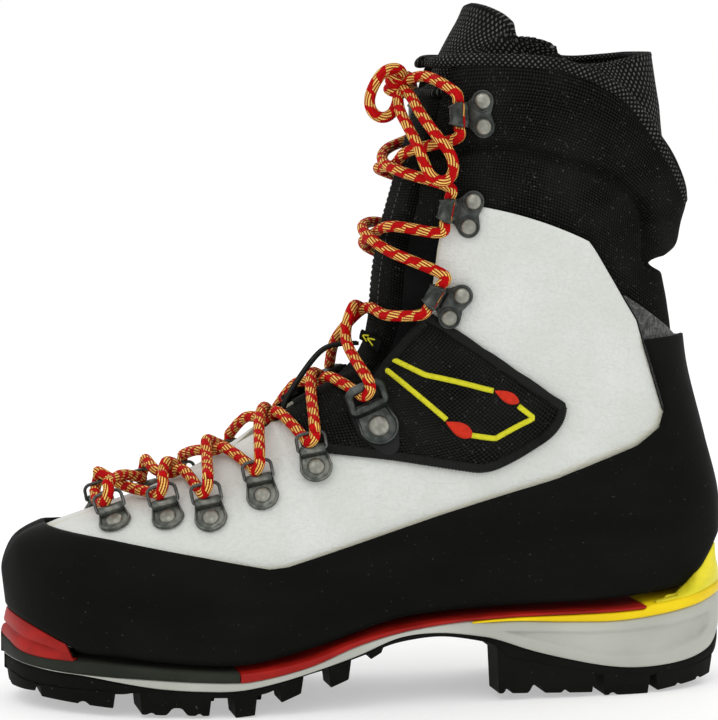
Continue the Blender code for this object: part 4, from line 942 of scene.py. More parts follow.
def cuff_base(u, s, side):
    """The cuff before its padding swells: down at its edges, and pulled in along its creases."""
    p = surface(u, s, side)
    x, z = p[..., 0], p[..., 2]
    base = 0.6 - 2.8 * (1 - smooth(15.9, 16.9, u))
    rear = 1 - smooth(0.05, 0.3, s)
    crease = (3.2 + 2.2 * rear) * np.exp(-(distance_to(CUFF_CREASE, x, z) / 2.2) ** 2)
    ankle = 1.2 * np.exp(-(distance_to(ANKLE_CREASE, x, z) / 4.0) ** 2)
    over = 2.4 * rear * np.exp(-((z - 186.0) / 5.0) ** 2)
    edge = 1.5 * (1 - smooth(0.0, 4.0, (eye_s(u, side) - s) * SECTION_RUN))
    return base - crease - ankle + over - edge


def cuff_sewn(u, s, side):
    """Where the cuff is stitched down: along its creases."""
    p = surface(u, s, side)
    x, z = p[..., 0], p[..., 2]
    return (distance_to(CUFF_CREASE, x, z) < 1.8) | (distance_to(ANKLE_CREASE, x, z) < 1.2)


def swollen(name, us, meet, edge_of, off, sewn, pressure, across=41, frames=16, most=3.0):
    """How far (mm) padded cloth stands out from its pattern, as a function of (u, s, side).

    A cloth simulation finds it. The cloth runs from one front edge, through the fraction where the two sides
    meet, to the other front edge. It is held at its border and where sewn(u, s, side) is true, and pressure
    fills it from behind.
    """
    t = np.linspace(-1.0, 1.0, 2 * across - 1)
    u = np.broadcast_to(us[:, None], (len(us), len(t)))
    side_of = np.broadcast_to(np.where(t < 0, LATERAL, MEDIAL), u.shape)
    edge = np.where(t < 0, edge_of(us, LATERAL)[:, None], edge_of(us, MEDIAL)[:, None])
    s = meet + (edge - meet) * np.abs(t)
    grid = lifted(u, s, side_of, off(u, s, side_of))
    sheet = mesh_object(name, grid.reshape(-1, 3), grid_faces(len(us), len(t), flip=meet < 0.5))
    fixed = sewn(u, s, side_of)
    fixed[[0, -1]] = True
    fixed[:, [0, -1]] = True
    sheet.vertex_groups.new(name="sewn").add(np.flatnonzero(fixed.ravel()).tolist(), 1.0, "REPLACE")
    cloth = sheet.modifiers.new("cloth", "CLOTH")
    cloth.settings.quality = 4
    cloth.settings.mass = 0.15
    cloth.settings.tension_stiffness = 14.0
    cloth.settings.compression_stiffness = 14.0
    cloth.settings.shear_stiffness = 4.0
    cloth.settings.bending_stiffness = 0.2
    cloth.settings.vertex_group_mass = "sewn"
    cloth.settings.use_pressure = True
    cloth.settings.uniform_pressure_force = pressure
    cloth.settings.shrink_min = -0.025
    cloth.settings.effector_weights.gravity = 0.0
    cloth.point_cache.frame_end = frames
    for number in range(1, frames + 1):
        bpy.context.scene.frame_set(number)
    settled = sheet.evaluated_get(bpy.context.evaluated_depsgraph_get()).to_mesh()
    found = np.empty(3 * len(settled.vertices))
    settled.vertices.foreach_get("co", found)
    first = np.empty_like(found)
    sheet.data.vertices.foreach_get("co", first)
    outward = directions(u, s, side_of)[1].reshape(-1, 3)
    moved = np.sum((found - first).reshape(-1, 3) * outward, axis=1) / MM
    bpy.data.objects.remove(sheet, do_unlink=True)
    bpy.context.scene.frame_set(1)
    moved = np.clip(moved, -0.4, most).reshape(u.shape)

    def stands_out(u, s, side):
        at = np.abs(s - meet) / np.maximum(np.abs(edge_of(u, side) - meet), 1e-6)
        column = np.clip((1.0 + np.where(side == LATERAL, -at, at)) * (across - 1), 0, 2 * across - 2.001)
        row = np.clip(np.interp(u, us, np.arange(len(us))), 0, len(us) - 1.001)
        i, j = row.astype(int), column.astype(int)
        fi, fj = row - i, column - j
        lower = moved[i, j] * (1 - fj) + moved[i, j + 1] * fj
        upper = moved[i + 1, j] * (1 - fj) + moved[i + 1, j + 1] * fj
        return lower * (1 - fi) + upper * fi
    return stands_out


BAND_U = 18.5  # above this station the collar's edge rises toward the front


def cuff_stretch(s):
    return 1.0 + 0.9 * smooth(0.2, 0.5, s)


def cuff_station(u, s, side):
    """The cuff's stations, stretched toward its top on its sides and front, where its edge is higher."""
    return np.where(u > BAND_U, BAND_U + (u - BAND_U) * cuff_stretch(s), u)


def make_cuff():
    us = np.linspace(15.35, 19.0, 34)
    puff = swollen("cuff_pattern", us, 0.0, eye_s, cuff_base, cuff_sewn, 3.2)

    def offset(u, s, side):
        top = 2.2 * smooth(18.6, 19.1, (u - BAND_U) / cuff_stretch(s) + BAND_U)
        return cuff_base(u, s, side) + puff(u, s, side) - top

    def limits(u, side):
        return np.zeros_like(u), eye_s(u, side)

    obj = shell("cuff_pad", columns((15.3, 19.0, 42)), limits, offset, 3.0, rows=110, warp=cuff_station)
    link(finish(obj, "cuff"), replaces=["cuff"])


NEAR_RIM = [(20.5, 260.0), (39.0, 259.5), (64.0, 259.5), (84.0, 259.0), (98.0, 260.0), (112.0, 263.0),
            (124.0, 264.5), (133.0, 265.5)]
FAR_RIM = [(20.5, 262.0), (50.0, 262.0), (84.0, 264.5), (101.8, 263.0), (115.0, 264.0), (133.0, 265.5)]
BAND_LINE = [(23.0, 260.4), (39.0, 261.2), (58.0, 260.5), (76.4, 258.7), (88.9, 254.8), (101.6, 247.2),
             (114.4, 232.6), (122.0, 221.4), (129.1, 210.7), (134.0, 203.0)]


def top_of(side, rim):
    """How high, as a station, the lining rises at each fraction of the section."""
    seats = on_side(evenly(rounded(rim, 6), 60), side, (17.0, 20.97))
    order = np.argsort(seats[:, 1])
    s = np.linspace(0.0, 1.0, 81)
    u = np.interp(s, seats[order, 1], seats[order, 0])
    for _ in range(60):
        u[1:-1] = 0.25 * (u[2:] + u[:-2]) + 0.5 * u[1:-1]
    return s, u


def make_lining():
    """The inner sock: a fold of it lies over the collar, and its back stands higher."""
    us = columns((1.3, 3.0, 6), (3.0, 14.0, 5), (14.0, BAND_U, 8), (BAND_U, 20.9, 30))
    tops = {side: top_of(side, rim) for side, rim in ((LATERAL, NEAR_RIM), (MEDIAL, FAR_RIM))}

    def station(u, s, side):
        top = np.interp(s, *tops[int(side[0, 0])])
        return np.where(u > BAND_U, BAND_U + (u - BAND_U) * (top - BAND_U) / 2.4, u)

    def offset(u, s, side):
        p = surface(u, s, side)
        ripple = 0.9 * np.sin(p[..., 0] * 0.11 + 1.0) * smooth(19.2, 20.4, u)
        from_hollow = p[..., 0] - 104.0 - 0.25 * (262.0 - p[..., 2])
        hollow = 2.2 * np.exp(-(from_hollow / 7.0) ** 2) * smooth(19.0, 20.0, u)
        return -7.6 + 5.6 * smooth(19.0, 20.2, u) + ripple - hollow

    obj = shell("inner_sock", us, lining_limits, offset, 1.7, rows=70, bevel=0.6, warp=station)
    link(finish(obj, "dotted"), replaces=["collar_lining"])
    make_hem(tops, offset)
    make_rim_band()


def make_hem(tops, offset):
    """The sock's rolled edge, from the tongue round the back and forward again."""
    pieces = []
    for side in (LATERAL, MEDIAL):
        s = np.linspace(0.64, 0.0, 70)[:, None]
        side_of = np.full(s.shape, side)
        u = np.interp(s, *tops[side]) - 0.03
        path = lifted(u, s, side_of, offset(u, s, side_of) - 1.3)[:, 0]
        pieces.append(path if side == LATERAL else path[::-1])
    line = eased(even(np.vstack([pieces[0][:-1], pieces[1][1:]])[::3], 1.0), 10)
    ends = np.minimum(np.arange(len(line)), np.arange(len(line))[::-1])
    hem = sweep("sock_hem", line, 0.5 + 0.9 * smooth(0.0, 14.0, ends), 18)
    for loop in hem.data.uv_layers["UVMap"].data:
        loop.uv[1] *= 2 * math.pi * 1.9
    link(finish(hem, "dotted"))


def make_rim_band():
    """The dotted fold along the collar's edge, from the tongue down to the back."""
    radius, count = 2.7, 90
    line = evenly(rounded(BAND_LINE, 8), count)
    for side, name in SIDES:
        seats = on_side(line, side, (16.5, 20.97))
        path = lifted(seats[:, 0], seats[:, 1], np.full(count, side), -0.9)
        steps = np.arange(count)
        wobble = radius * (1 + 0.05 * np.sin(steps * 0.31)) * smooth(-6, 5, steps)
        band = sweep(f"rim_band_{name}_0", path, wobble, 20, flat=0.72, out=(0.0, side, 0.25))
        for loop in band.data.uv_layers["UVMap"].data:
            loop.uv[1] *= 2 * math.pi * radius * 0.9
        link(finish(band, "dotted"))


def s_half(u, s, side):
    """Distance of a point of the section from the ridge, sideways."""
    return np.abs(surface(u, s, side)[..., 1] - rows_at(u)[..., 8])


TONGUE_SEAM_HALF = 9.0


def tongue_offset(u, s, side):
    half = s_half(u, s, side)
    eye = np.interp(np.maximum(u, 5.8), EYE_HALF[:, 0], EYE_HALF[:, 1])
    return -3.2 - 4.4 * smooth(eye - 6.0, eye - 1.0, half)


def tongue_sewn(u, s, side):
    """Where the tongue is stitched through: a line on each side of its middle."""
    return np.abs(s_half(u, s, side) - TONGUE_SEAM_HALF) < 0.8


def flap_grid(us, fractions):
    """The tongue's top: it leaves the collar's line and leans back, highest in the middle."""
    grids = []
    for side in (LATERAL, MEDIAL):
        s = np.broadcast_to(fractions, (len(us), len(fractions)))
        u = us[0] + (us[:, None] - us[0]) * (0.62 + 0.38 * smooth(0.64, 0.9, s))
        side_of = np.full(s.shape, side)
        held = np.minimum(u, 20.9)
        half = np.abs(surface(held, s, side_of)[..., 1])
        p = lifted(held, s, side_of, -3.4 - 8.2 * smooth(14.0, 26.0, half))
        rise = smooth(18.4, 22.4, u) * smooth(0.64, 0.97, s)
        grids.append(p + np.array([8.5, 0.0, 19.5]) * rise[..., None])
    grid = np.concatenate([grids[0], grids[1][:, -2::-1]], axis=1)[:, ::-1]
    for _ in range(14):
        grid[1:-1, 1:-1] += 0.5 * ((grid[2:, 1:-1] + grid[:-2, 1:-1] + grid[1:-1, 2:] + grid[1:-1, :-2]) / 4
                                   - grid[1:-1, 1:-1])
        grid[-1, 1:-1] += 0.5 * (0.5 * (grid[-1, 2:] + grid[-1, :-2]) - grid[-1, 1:-1])
    return grid


def grid_object(name, grid, thickness, bevel):
    rows, across = grid.shape[:2]
    faces = grid_faces(rows, across, flip=True)
    obj = mesh_object(name, grid.reshape(-1, 3), faces, lengths_uv(grid).reshape(-1, 2))
    thicken(obj, thickness)
    soften(obj, bevel, 3)
    return obj


def ridge_points(us, off, sideways=0.0):
    side = LATERAL if sideways < 0 else MEDIAL
    s = np.ones_like(us) if abs(sideways) < 0.01 else s_at_half(us, side, abs(sideways))
    return lifted(us, s, side, off)


def make_tongue():
    us = columns((5.45, 9.0, 16), (9.0, 18.45, 14))
    puff = swollen("tongue_pattern", np.linspace(5.45, 18.2, 60), 1.0, tongue_edge, tongue_offset,
                   tongue_sewn, 2.0, 15, most=1.2)

    def offset(u, s, side):
        return tongue_offset(u, s, side) + puff(u, s, side)

    obj = shell("tongue_pad", us, tongue_limits, offset, 3.4, rows=36, bevel=0.8)
    link(finish(obj, "cuff"), body="tongue", replaces=["tongue"])
    rising = flap_grid(np.linspace(18.45, 22.4, 40), np.linspace(0.62, 1.0, 30))
    flap = grid_object("tongue_top", rising, 2.4, 0.9)
    link(finish(flap, "dotted"), body="tongue", replaces=["tongue_flap"])
    roll = [lifted(np.full(16, BAND_U), np.linspace(0.83, 1.0, 16), np.full(16, side), -3.2)
            for side in (LATERAL, MEDIAL)]
    fold = sweep("tongue_fold", even(np.vstack([roll[0], roll[1][-2::-1]])[::2], 0.9), 1.9, 14)
    link(finish(fold, "dotted"), body="tongue")
    make_strap()
    make_label()
    for sign, end in ((-1.0, "low"), (1.0, "high")):
        seam = ridge_points(np.linspace(10.6, 17.8, 160), -3.05, TONGUE_SEAM_HALF * sign)
        stitches("tongue_seam_" + end, seam, 1.5, 0.9, 0.2, "grey_thread", "tongue")


def make_strap():
    """Two thin cords down the tongue's front, which keep the lace in the middle."""
    us = np.linspace(6.1, 8.9, 50)
    turn = np.linspace(0.0, 1.0, 50)
    off = -2.4 + 12.0 * np.sin(math.pi * turn) ** 0.7
    cords = []
    for number, sideways in enumerate((-1.7, 1.7)):
        path = ridge_points(us, off) + np.array([0.0, sideways, 0.0])
        cord = sweep(f"keeper_{number}", even(path[::3], 0.9), 0.85, 10)
        cords.append(finish(cord, "black_thread"))
    strap = joined("lace_strap", cords)
    link(strap, body="tongue", replaces=["lace_keeper"])


def label_droop(sideways):
    """How far the label falls away from the ridge's own height, sideways."""
    return 0.09 * (abs(sideways) - 6.0)


def make_label():
    """A folded loop of woven tape on the tongue's outer side, with plain stitched marks."""
    us = np.linspace(9.05, 9.75, 14)
    across = np.linspace(-5.5, -18.6, 20)
    fold = 0.6 * (1 - np.abs(np.linspace(-1, 1, 14)) ** 3)
    grid = np.stack([ridge_points(us, fold + 0.9 - label_droop(a), a) for a in across], axis=1)[:, ::-1]
    label = grid_object("woven_label", grid, 1.8, 0.6)
    link(finish(label, "binding"), body="tongue", replaces=["tongue_label"])
    for number, start in enumerate((-9.4, -12.8)):
        for sign, end in ((-1.0, "low"), (1.0, "high")):
            line = np.vstack([ridge_points(np.array([9.4 + sign * d]), 1.75 - label_droop(a), a)
                              for d, a in ((0.02, start), (0.1, start - 1.6), (0.2, start - 3.4))])
            mark = sweep(f"label_mark_{number}_{end}", rounded(line, 5), 0.34, 6)
            link(finish(mark, "yellow_thread"), body="tongue")


# The sole ----------------------------------------------------------------------------------------

SOLE_OUTLINE = [(-146.5, -8.0, 8.0), (-142.0, 9.0, 23.0), (-135.0, 20.0, 33.0), (-120.0, 34.0, 43.0),
                (-100.0, 45.0, 49.5), (-76.0, 51.5, 51.5), (-52.0, 54.0, 50.0), (-24.0, 52.0, 44.0),
                (12.0, 46.5, 36.5), (50.0, 42.5, 35.5), (86.0, 41.0, 37.5), (116.0, 38.5, 37.5),
                (138.0, 31.0, 30.5), (151.0, 20.0, 20.0), (157.0, 9.0, 9.0), (159.0, 0.0, 0.0)]
WELT_TOP = [(-149.0, 30.0), (-135.0, 26.5), (-112.0, 23.5), (-80.0, 20.0), (-56.0, 19.0), (-30.0, 23.0),
            (-8.0, 30.0), (18.0, 34.8), (52.0, 36.8), (104.0, 37.3), (134.0, 40.0), (159.0, 44.5)]
WELT_BOTTOM = [(-149.0, 20.5), (-130.0, 17.5), (-94.0, 16.0), (-72.0, 14.8), (-52.0, 14.8), (-30.0, 19.0),
               (-8.0, 26.2), (18.0, 31.3), (52.0, 33.2), (80.0, 32.0), (104.0, 31.5), (134.0, 34.5),
               (159.0, 39.5)]
SKIN_BOTTOM = [(-149.0, 17.0), (-143.0, 12.0), (-133.0, 9.5), (-105.0, 9.3), (-96.0, 10.0), (-68.0, 8.2),
               (-50.0, 8.9), (-42.0, 11.3), (-31.5, 15.6), (-20.0, 18.3), (-12.0, 20.8), (-3.0, 23.4),
               (9.0, 26.8), (26.0, 28.2), (42.0, 25.8), (50.0, 23.2), (52.5, 20.0), (60.0, 16.0),
               (95.0, 9.0), (112.0, 7.5), (132.0, 8.0), (150.0, 11.0), (159.0, 18.0)]
WELT_GAP = 0.9
LAYER_GAP = 0.3
OUTLINE = rounded(SOLE_OUTLINE, 9)


def curve_of(table, shift=0.0):
    line = rounded(table, 8)
    return lambda x: np.interp(x, line[:, 0], line[:, 1]) + shift


# The toe's welt as it shows, lower than the solid's, and the foam's foot, which fades out under the toe
TOE_RIM = [(-149.0, 30.0), (-144.3, 26.5), (-140.5, 23.6), (-133.6, 22.2), (-120.9, 22.0), (-111.5, 21.9),
           (-92.7, 20.4), (-73.4, 18.9), (-56.0, 18.1)]
FOAM_BOTTOM = [(-149.0, 19.9), (-131.0, 17.0), (-118.0, 16.2), (-102.0, 13.8), (-88.8, 12.0), (-73.3, 11.0),
               (-57.5, 11.0), (-41.3, 13.8), (-24.8, 18.0), (-7.9, 22.9), (9.1, 28.8), (26.0, 29.8),
               (44.0, 27.4), (52.0, 25.4), (69.0, 19.6), (95.0, 13.3), (112.7, 11.4), (131.7, 12.2),
               (145.4, 15.0), (151.0, 18.0), (159.0, 26.0)]
RED_THICKNESS = [(-60.0, 4.0), (-30.0, 3.0), (0.0, 2.0), (30.0, 1.5), (60.0, 1.2), (160.0, 1.2)]
solid_top = curve_of(WELT_TOP, -WELT_GAP)
toe_rim = curve_of(TOE_RIM)
welt_bottom = curve_of(WELT_BOTTOM)
midsole_bottom = curve_of(FOAM_BOTTOM)
skin_bottom = curve_of(SKIN_BOTTOM)


def welt_top(x):
    return np.where(x < -57.0, toe_rim(x), solid_top(x))


def red_bottom(x):
    """The red plate thins to a strip over the heel wedge."""
    return welt_top(x) - np.interp(x, *np.transpose(RED_THICKNESS))


def foam_top(x):
    under_red = smooth(-58.0, -54.0, x) * (1 - smooth(38.0, 50.0, x))
    return welt_bottom(x) - LAYER_GAP + (red_bottom(x) - 0.1 - welt_bottom(x) + LAYER_GAP) * under_red


def yellow_top(x):
    under = red_bottom(x) - LAYER_GAP
    return under + (welt_top(x) - under) * smooth(115.2, 116.2, x)


def outline_at(x, side, inset):
    """y of the sole's edge at x, moved inward by an inset."""
    xs, lateral, medial = OUTLINE.T
    first, last = xs[0] + inset, xs[-1] - inset
    middle = 0.5 * (first + last)
    x = middle + (x - middle) * (xs[-1] - xs[0]) / (last - first) - (middle - 0.5 * (xs[0] + xs[-1]))
    half = np.interp(x, xs, medial if side > 0 else lateral)
    centre = 0.5 * (np.interp(x, xs, medial) - np.interp(x, xs, lateral))
    return side * np.maximum(half - inset, side * centre + 0.8)


# How far the side of a layer stands in, from its bottom (0) to its top (1)
ROUND_SIDE = [(0.0, 0.7), (0.12, 0.2), (0.3, 0.0), (0.7, 0.0), (0.88, 0.2), (1.0, 0.7)]


def layer(name, low, high, inset, top, bottom, side_profile=ROUND_SIDE, extra=None):
    """A layer of the sole between two curves of height.

    Its side follows a profile, and extra(x, fraction, side) adds to how far the side stands in.
    """
    xs = np.unique(np.concatenate([[low, high], OUTLINE[:, 0], np.arange(low, high, 2.0)]))
    xs = xs[(xs >= low) & (xs <= high)]
    rows = []
    for side, profile in ((LATERAL, side_profile), (MEDIAL, side_profile[::-1])):
        for fraction, depth in profile:
            moved = inset + depth + (extra(xs, fraction, side) if extra else 0.0)
            y = outline_at(xs, side, moved)
            z = bottom(xs) + (top(xs) - bottom(xs)) * fraction
            rows.append(np.stack([xs, y, z], -1))
    grid = np.stack(rows, axis=1)
    across = grid.shape[1]
    faces = grid_faces(len(xs), across, wrap=True, flip=False)
    faces += [tuple(range(across))[::-1], tuple(range((len(xs) - 1) * across, len(xs) * across))]
    obj = mesh_object(name, grid.reshape(-1, 3), faces)
    return weld(obj, 0.001, outward=True)


def midsole_recess(x, fraction, side):
    """The heel wedge's groove line and the shallow leaf-shaped recess under it."""
    top, bottom = foam_top(x), np.minimum(midsole_bottom(x), foam_top(x) - 0.05)
    z = bottom + (top - bottom) * fraction
    groove_z = np.interp(x, [46.0, 92.8, 125.2, 150.0], [29.7, 27.2, 28.0, 31.5])
    leaf_z = np.interp(x, [50.7, 75.9, 95.5, 109.1, 126.8, 142.2, 150.0],
                       [29.3, 22.7, 17.3, 16.6, 17.1, 21.7, 27.0])
    within = smooth(0.0, 0.9, groove_z - z) * smooth(-0.1, 0.9, z - leaf_z)
    return 1.2 * within * smooth(48.0, 54.0, x) * (1 - smooth(144.0, 149.0, x))


FINE_SIDE = [(f, 0.5 * max(0.0, 1 - 8 * min(f, 1 - f))) for f in np.linspace(0.0, 1.0, 25)]


def make_sole():
    toe = layer("toe_welt_rubber", -146.3, -57.6, 0.0, welt_top, welt_bottom)
    link(finish(toe, "welt"), replaces=["toe_welt"])
    red = layer("red_plate", -57.2, 115.0, 0.0, welt_top, red_bottom)
    link(finish(red, "red"), replaces=["welt_plate"])
    heel = layer("heel_ledge", 40.0, 158.8, 0.0, yellow_top, welt_bottom)
    link(finish(heel, "yellow"), replaces=["heel_welt"])
    foam = layer("foam_midsole", -144.8, 157.0, 0.7, foam_top,
                 lambda x: np.minimum(midsole_bottom(x), foam_top(x) - 0.05), FINE_SIDE, midsole_recess)
    link(finish(foam, "foam"), replaces=["midsole"])
    make_lime_cove()
    make_toe_cove()
    make_outsole()
    for name, look, slot in (("insole_board", "board", "board"), ("footbed", "felt", "felt"),
                             ("shank", "wire", "wire"), ("toe_puff", "board", "board"),
                             ("heel_counter", "board", "board")):
        node = frame["nodes"][name]
        node.data = node.data.copy()
        finish(node, look)


LAST_FOOT = 12.45


def rand_foot(side, us, off):
    low = spans(us, RAND_AREA, side)[0]
    low = np.where(us > LAST_FOOT, 0.0, low)
    return lifted(us, low, side, off)


def cove(name, us, rim_of, centre_x, profile, inset, off, look, node, count=70):
    """A moulded filler between the rand's foot and the sole's rim, from one side round the end to the other.

    us run from the side to the end of the boot; rim_of picks the outline's points; profile is (height
    fraction, how far it stands out).
    """
    halves = []
    for side in (LATERAL, MEDIAL):
        upper = rand_foot(side, us, off)
        upper = evenly(upper, count)
        xs, lateral, medial = OUTLINE.T
        rim = np.stack([xs, side * (medial if side > 0 else lateral)], -1)[rim_of(xs)]
        if xs[rim_of(xs)][0] < 0:
            rim = rim[::-1]
        rim = evenly(rim, count)
        inward = np.array([centre_x, 0.0]) - rim
        inward /= np.linalg.norm(inward, axis=1, keepdims=True)
        rim = rim + inward * inset
        lower = np.concatenate([rim, welt_top(rim[:, :1]) - 0.3], axis=1)
        lower[:, 2] = np.minimum(lower[:, 2], upper[:, 2] - 0.2)
        fade = smooth(0.0, 0.3, np.linspace(0.0, 1.0, count))[:, None]
        rows = []
        for f, bulge in profile:
            p = lower + (upper - lower) * f
            p[:, :2] -= inward * bulge * fade
            rows.append(p)
        rows.append(lower + np.concatenate([inward * 3.0, np.zeros((count, 1))], axis=1))
        halves.append(np.stack(rows, 1))
    middle = 0.5 * (halves[0][-1:] + halves[1][-1:])
    grid = np.concatenate([halves[0][:-1], middle, halves[1][-2::-1]], axis=0)
    obj = mesh_object(name, grid.reshape(-1, 3), grid_faces(*grid.shape[:2], flip=centre_x < 0))
    thicken(obj, 1.2)
    return link(finish(obj, look), replaces=[node])


LIME_SIDE = [(1.0, -0.6), (0.97, 0.0), (0.8, 0.25), (0.55, 0.5), (0.3, 0.6), (0.12, 0.5), (0.0, 0.0)]
RED_SIDE = [(1.0, -0.6), (0.96, 0.1), (0.8, 0.4), (0.6, 0.5), (0.5, 0.2), (0.45, -0.6), (0.40, -0.5),
            (0.36, 0.2), (0.3, 0.5), (0.14, 0.7), (0.04, 0.4), (0.0, 0.0)]


def make_lime_cove():
    cove("lime_cove", np.linspace(9.75, 12.48, 70), lambda x: x > 119.5, 100.0, LIME_SIDE, 0.9, 2.3, "lime",
         "heel_welt")


def make_toe_cove():
    us = np.concatenate([np.linspace(1.9, 1.0, 40), np.linspace(0.98, 0.0, 70)])
    cove("toe_cove", us, lambda x: x < -120.0, -90.0, RED_SIDE, 0.6, 2.4, "red", "toe_insert", 110)


# Lugs along the edge: x at the front and rear, heights of the ground side there, and notches (x, depth, half
# width)
LUGS = [(-143.6, -134.3, 7.0, 7.6, []), (-133.6, -105.6, 5.4, 3.6, [(-117.5, 1.2, 1.6)]),
        (-96.6, -68.6, 1.4, 1.0, [(-82.0, 3.0, 3.2), (-92.0, 0.8, 1.2), (-73.5, 0.8, 1.0)]),
        (-60.0, -50.4, 0.0, 0.8, []), (-41.5, -31.5, 5.4, 8.6, []), (-21.0, -11.5, 10.2, 13.0, []),
        (-4.0, 2.5, 20.6, 23.0, [])]
HEEL_LUGS = [(51.0, 93.0, 3.2, 1.8, [(55.8, 2.6, 1.2), (68.0, 3.6, 2.6), (80.4, 1.4, 1.0)]),
             (96.5, 117.6, 0.3, 0.0, [(101.0, 1.0, 1.4)]),
             (120.0, 150.0, 0.9, 4.0, [(131.0, 0.9, 1.0), (141.5, 1.0, 1.0)])]
HEEL_FRONT_MEDIAL = 74.0
CENTRE_LUGS = [(-122.0, -99.0, 4.5), (-84.0, -61.5, 0.6), (-48.5, -42.5, 1.0)]
# The inner edge's lugs stand further back than the outer edge's
MEDIAL_LUGS = [(-143.6, -134.3, 7.0, 7.6, []), (-133.6, -109.5, 5.4, 3.8, []), (-107.5, -87.5, 3.5, 1.4, []),
               (-77.0, -50.2, 0.9, 0.4, [(-64.0, 1.5, 1.5)]), (-40.2, -31.6, 5.6, 8.6, []),
               (-21.8, -12.8, 10.2, 13.0, []), (-1.6, 3.0, 21.0, 23.0, [])]


def lug(name, x0, x1, y0, y1, feet, notches=()):
    """A tread block, narrower at its foot, with notches across its foot."""
    steps = sorted({0.0, 1.0, *np.linspace(0, 1, max(3, int((x1 - x0) / 0.9)))})
    across = np.array(steps)
    verts = []
    for f in across:
        x_top = x0 + (x1 - x0) * f
        x_foot = x0 + 0.9 + (x1 - x0 - 1.8) * f
        foot = feet[0] + (feet[1] - feet[0]) * f
        foot += sum(depth * math.exp(-((x_foot - at) / half) ** 4) for at, depth, half in notches)
        roof = float(np.minimum(skin_bottom(x_top) + 1.2, midsole_bottom(x_top) - 0.6))
        roof = max(roof, foot + 1.0)
        narrow = 0.8 if y1(x_top) > y0(x_top) else -0.8
        verts += [(x_foot, y0(x_top) + narrow, foot), (x_foot, y1(x_top) - narrow, foot),
                  (x_top, y1(x_top), roof), (x_top, y0(x_top), roof)]
    last = 4 * (len(across) - 1)
    faces = grid_faces(len(across), 4, wrap=True) + [(3, 2, 1, 0), (last, last + 1, last + 2, last + 3)]
    obj = mesh_object(name, np.array(verts, float), faces, smooth_shade=False)
    weld(obj, 0.001, outward=True)
    soften(obj, 0.45, angle=40)
    return obj


def make_outsole():
    skin = layer("tread_skin", -145.0, 156.0, 1.2,
                 lambda x: np.minimum(midsole_bottom(x), foam_top(x)) - 0.1, skin_bottom)
    blocks = [skin]
    for side, name in SIDES:
        fore = LUGS if side == LATERAL else MEDIAL_LUGS
        for number, (x0, x1, foot0, foot1, notches) in enumerate(fore + HEEL_LUGS):
            start = max(x0, HEEL_FRONT_MEDIAL) if side == MEDIAL and 50.0 < x0 < 60.0 else x0
            blocks.append(lug(f"lug_{name}_{number}", start, x1, lambda x: outline_at(x, side, 1.0),
                              lambda x: outline_at(x, side, 19.0), (foot0, foot1), notches))
    for number, (x0, x1, ground) in enumerate(CENTRE_LUGS):
        blocks.append(lug(f"centre_lug_{number}", x0, x1, lambda x: outline_at(x, LATERAL, 31.0),
                          lambda x: outline_at(x, MEDIAL, 31.0), (ground, ground)))
    obj = joined("tread", blocks)
    link(finish(obj, "tread"), replaces=["outsole"])


# Hardware ----------------------------------------------------------------------------------------

WIRE_R, LACE_R, LACE_CLEAR = 0.7, 2.1, 0.5
CORD_R = 2.3
RING_REACH, RING_HALF, RING_TILT = 7.2, 5.8, math.radians(40)
HINGE_UP, HINGE_OUT = 6.4, 2.5
PLATE_T, SEAT_GAP, PATCH_LIFT, HOOK_LIFT = 1.0, 0.5, 2.3, 0.9
HOOK_HALF, HOOK_BEND_R, HOOK_REACH = 5.2, 2.7, 9.4
LOCK_SCALE = 1.25
CLIP_SEATS = [(3.01, 0.93), (3.88, 0.871), (4.60, 0.796), (5.47, 0.777), (6.33, 0.755)]
LOCK_SEAT = (7.55, 0.783)
HOOK_SEATS = [(13.62, 0.796), (15.82, 0.785), (17.94, 0.829)]


def seat_matrix(u, s, side, off=SEAT_GAP):
    """Local axes of a fitting: X along the boot, Y up the section, Z outward."""
    up, n = directions(np.array(u), np.array(s), np.array(side))
    x = np.cross(up, n)
    made = Matrix.Identity(4)
    for i, axis in enumerate((x, up, n)):
        for j in range(3):
            made[j][i] = float(axis[j])
    made.translation = Vector(metres(surface(u, s, side) + n * off).tolist())
    return made


def arc(x, y, radius, start, end, count):
    angles = np.radians(np.linspace(start, end, count + 1))
    return np.stack([x + radius * np.cos(angles), y + radius * np.sin(angles)], -1)


def local_mesh(name, verts, faces):
    """A mesh in a fitting's own axes, from millimetres."""
    mesh = bpy.data.meshes.new(name)
    mesh.from_pydata((np.asarray(verts, float) * MM).tolist(), [], faces)
    mesh.polygons.foreach_set("use_smooth", [True] * len(mesh.polygons))
    return mesh


def plate_mesh(name, outline, base, thickness, edge=0.3):
    """A flat outline as a plate with softened edges."""
    n = len(outline)
    centre = outline.mean(axis=0)
    rings = []
    top = base + thickness
    for inset, z in ((0.0, base), (0.0, top - edge), (edge * 0.3, top - edge * 0.3), (edge, top)):
        away = outline - centre
        shrink = 1 - inset / np.linalg.norm(away, axis=1, keepdims=True)
        flat = centre + away * shrink
        rings.append(np.concatenate([flat, np.full((n, 1), z)], axis=1))
    verts = np.vstack(rings)
    faces = grid_faces(4, n, wrap=True) + [tuple(range(3 * n, 4 * n)), tuple(range(n))[::-1]]
    return local_mesh(name, verts, faces)


def turned_mesh(name, profile, sides=28, at=(0.0, 0.0)):
    """A solid of revolution round Z from (radius, z) pairs, from its foot to its crown."""
    angle = np.linspace(0, 2 * np.pi, sides, endpoint=False)
    verts = [(at[0] + r * np.cos(a), at[1] + r * np.sin(a), z) for r, z in profile for a in angle]
    faces = grid_faces(len(profile), sides, wrap=True) + [tuple(range((len(profile) - 1) * sides,
                                                                      len(profile) * sides))]
    return local_mesh(name, verts, faces)


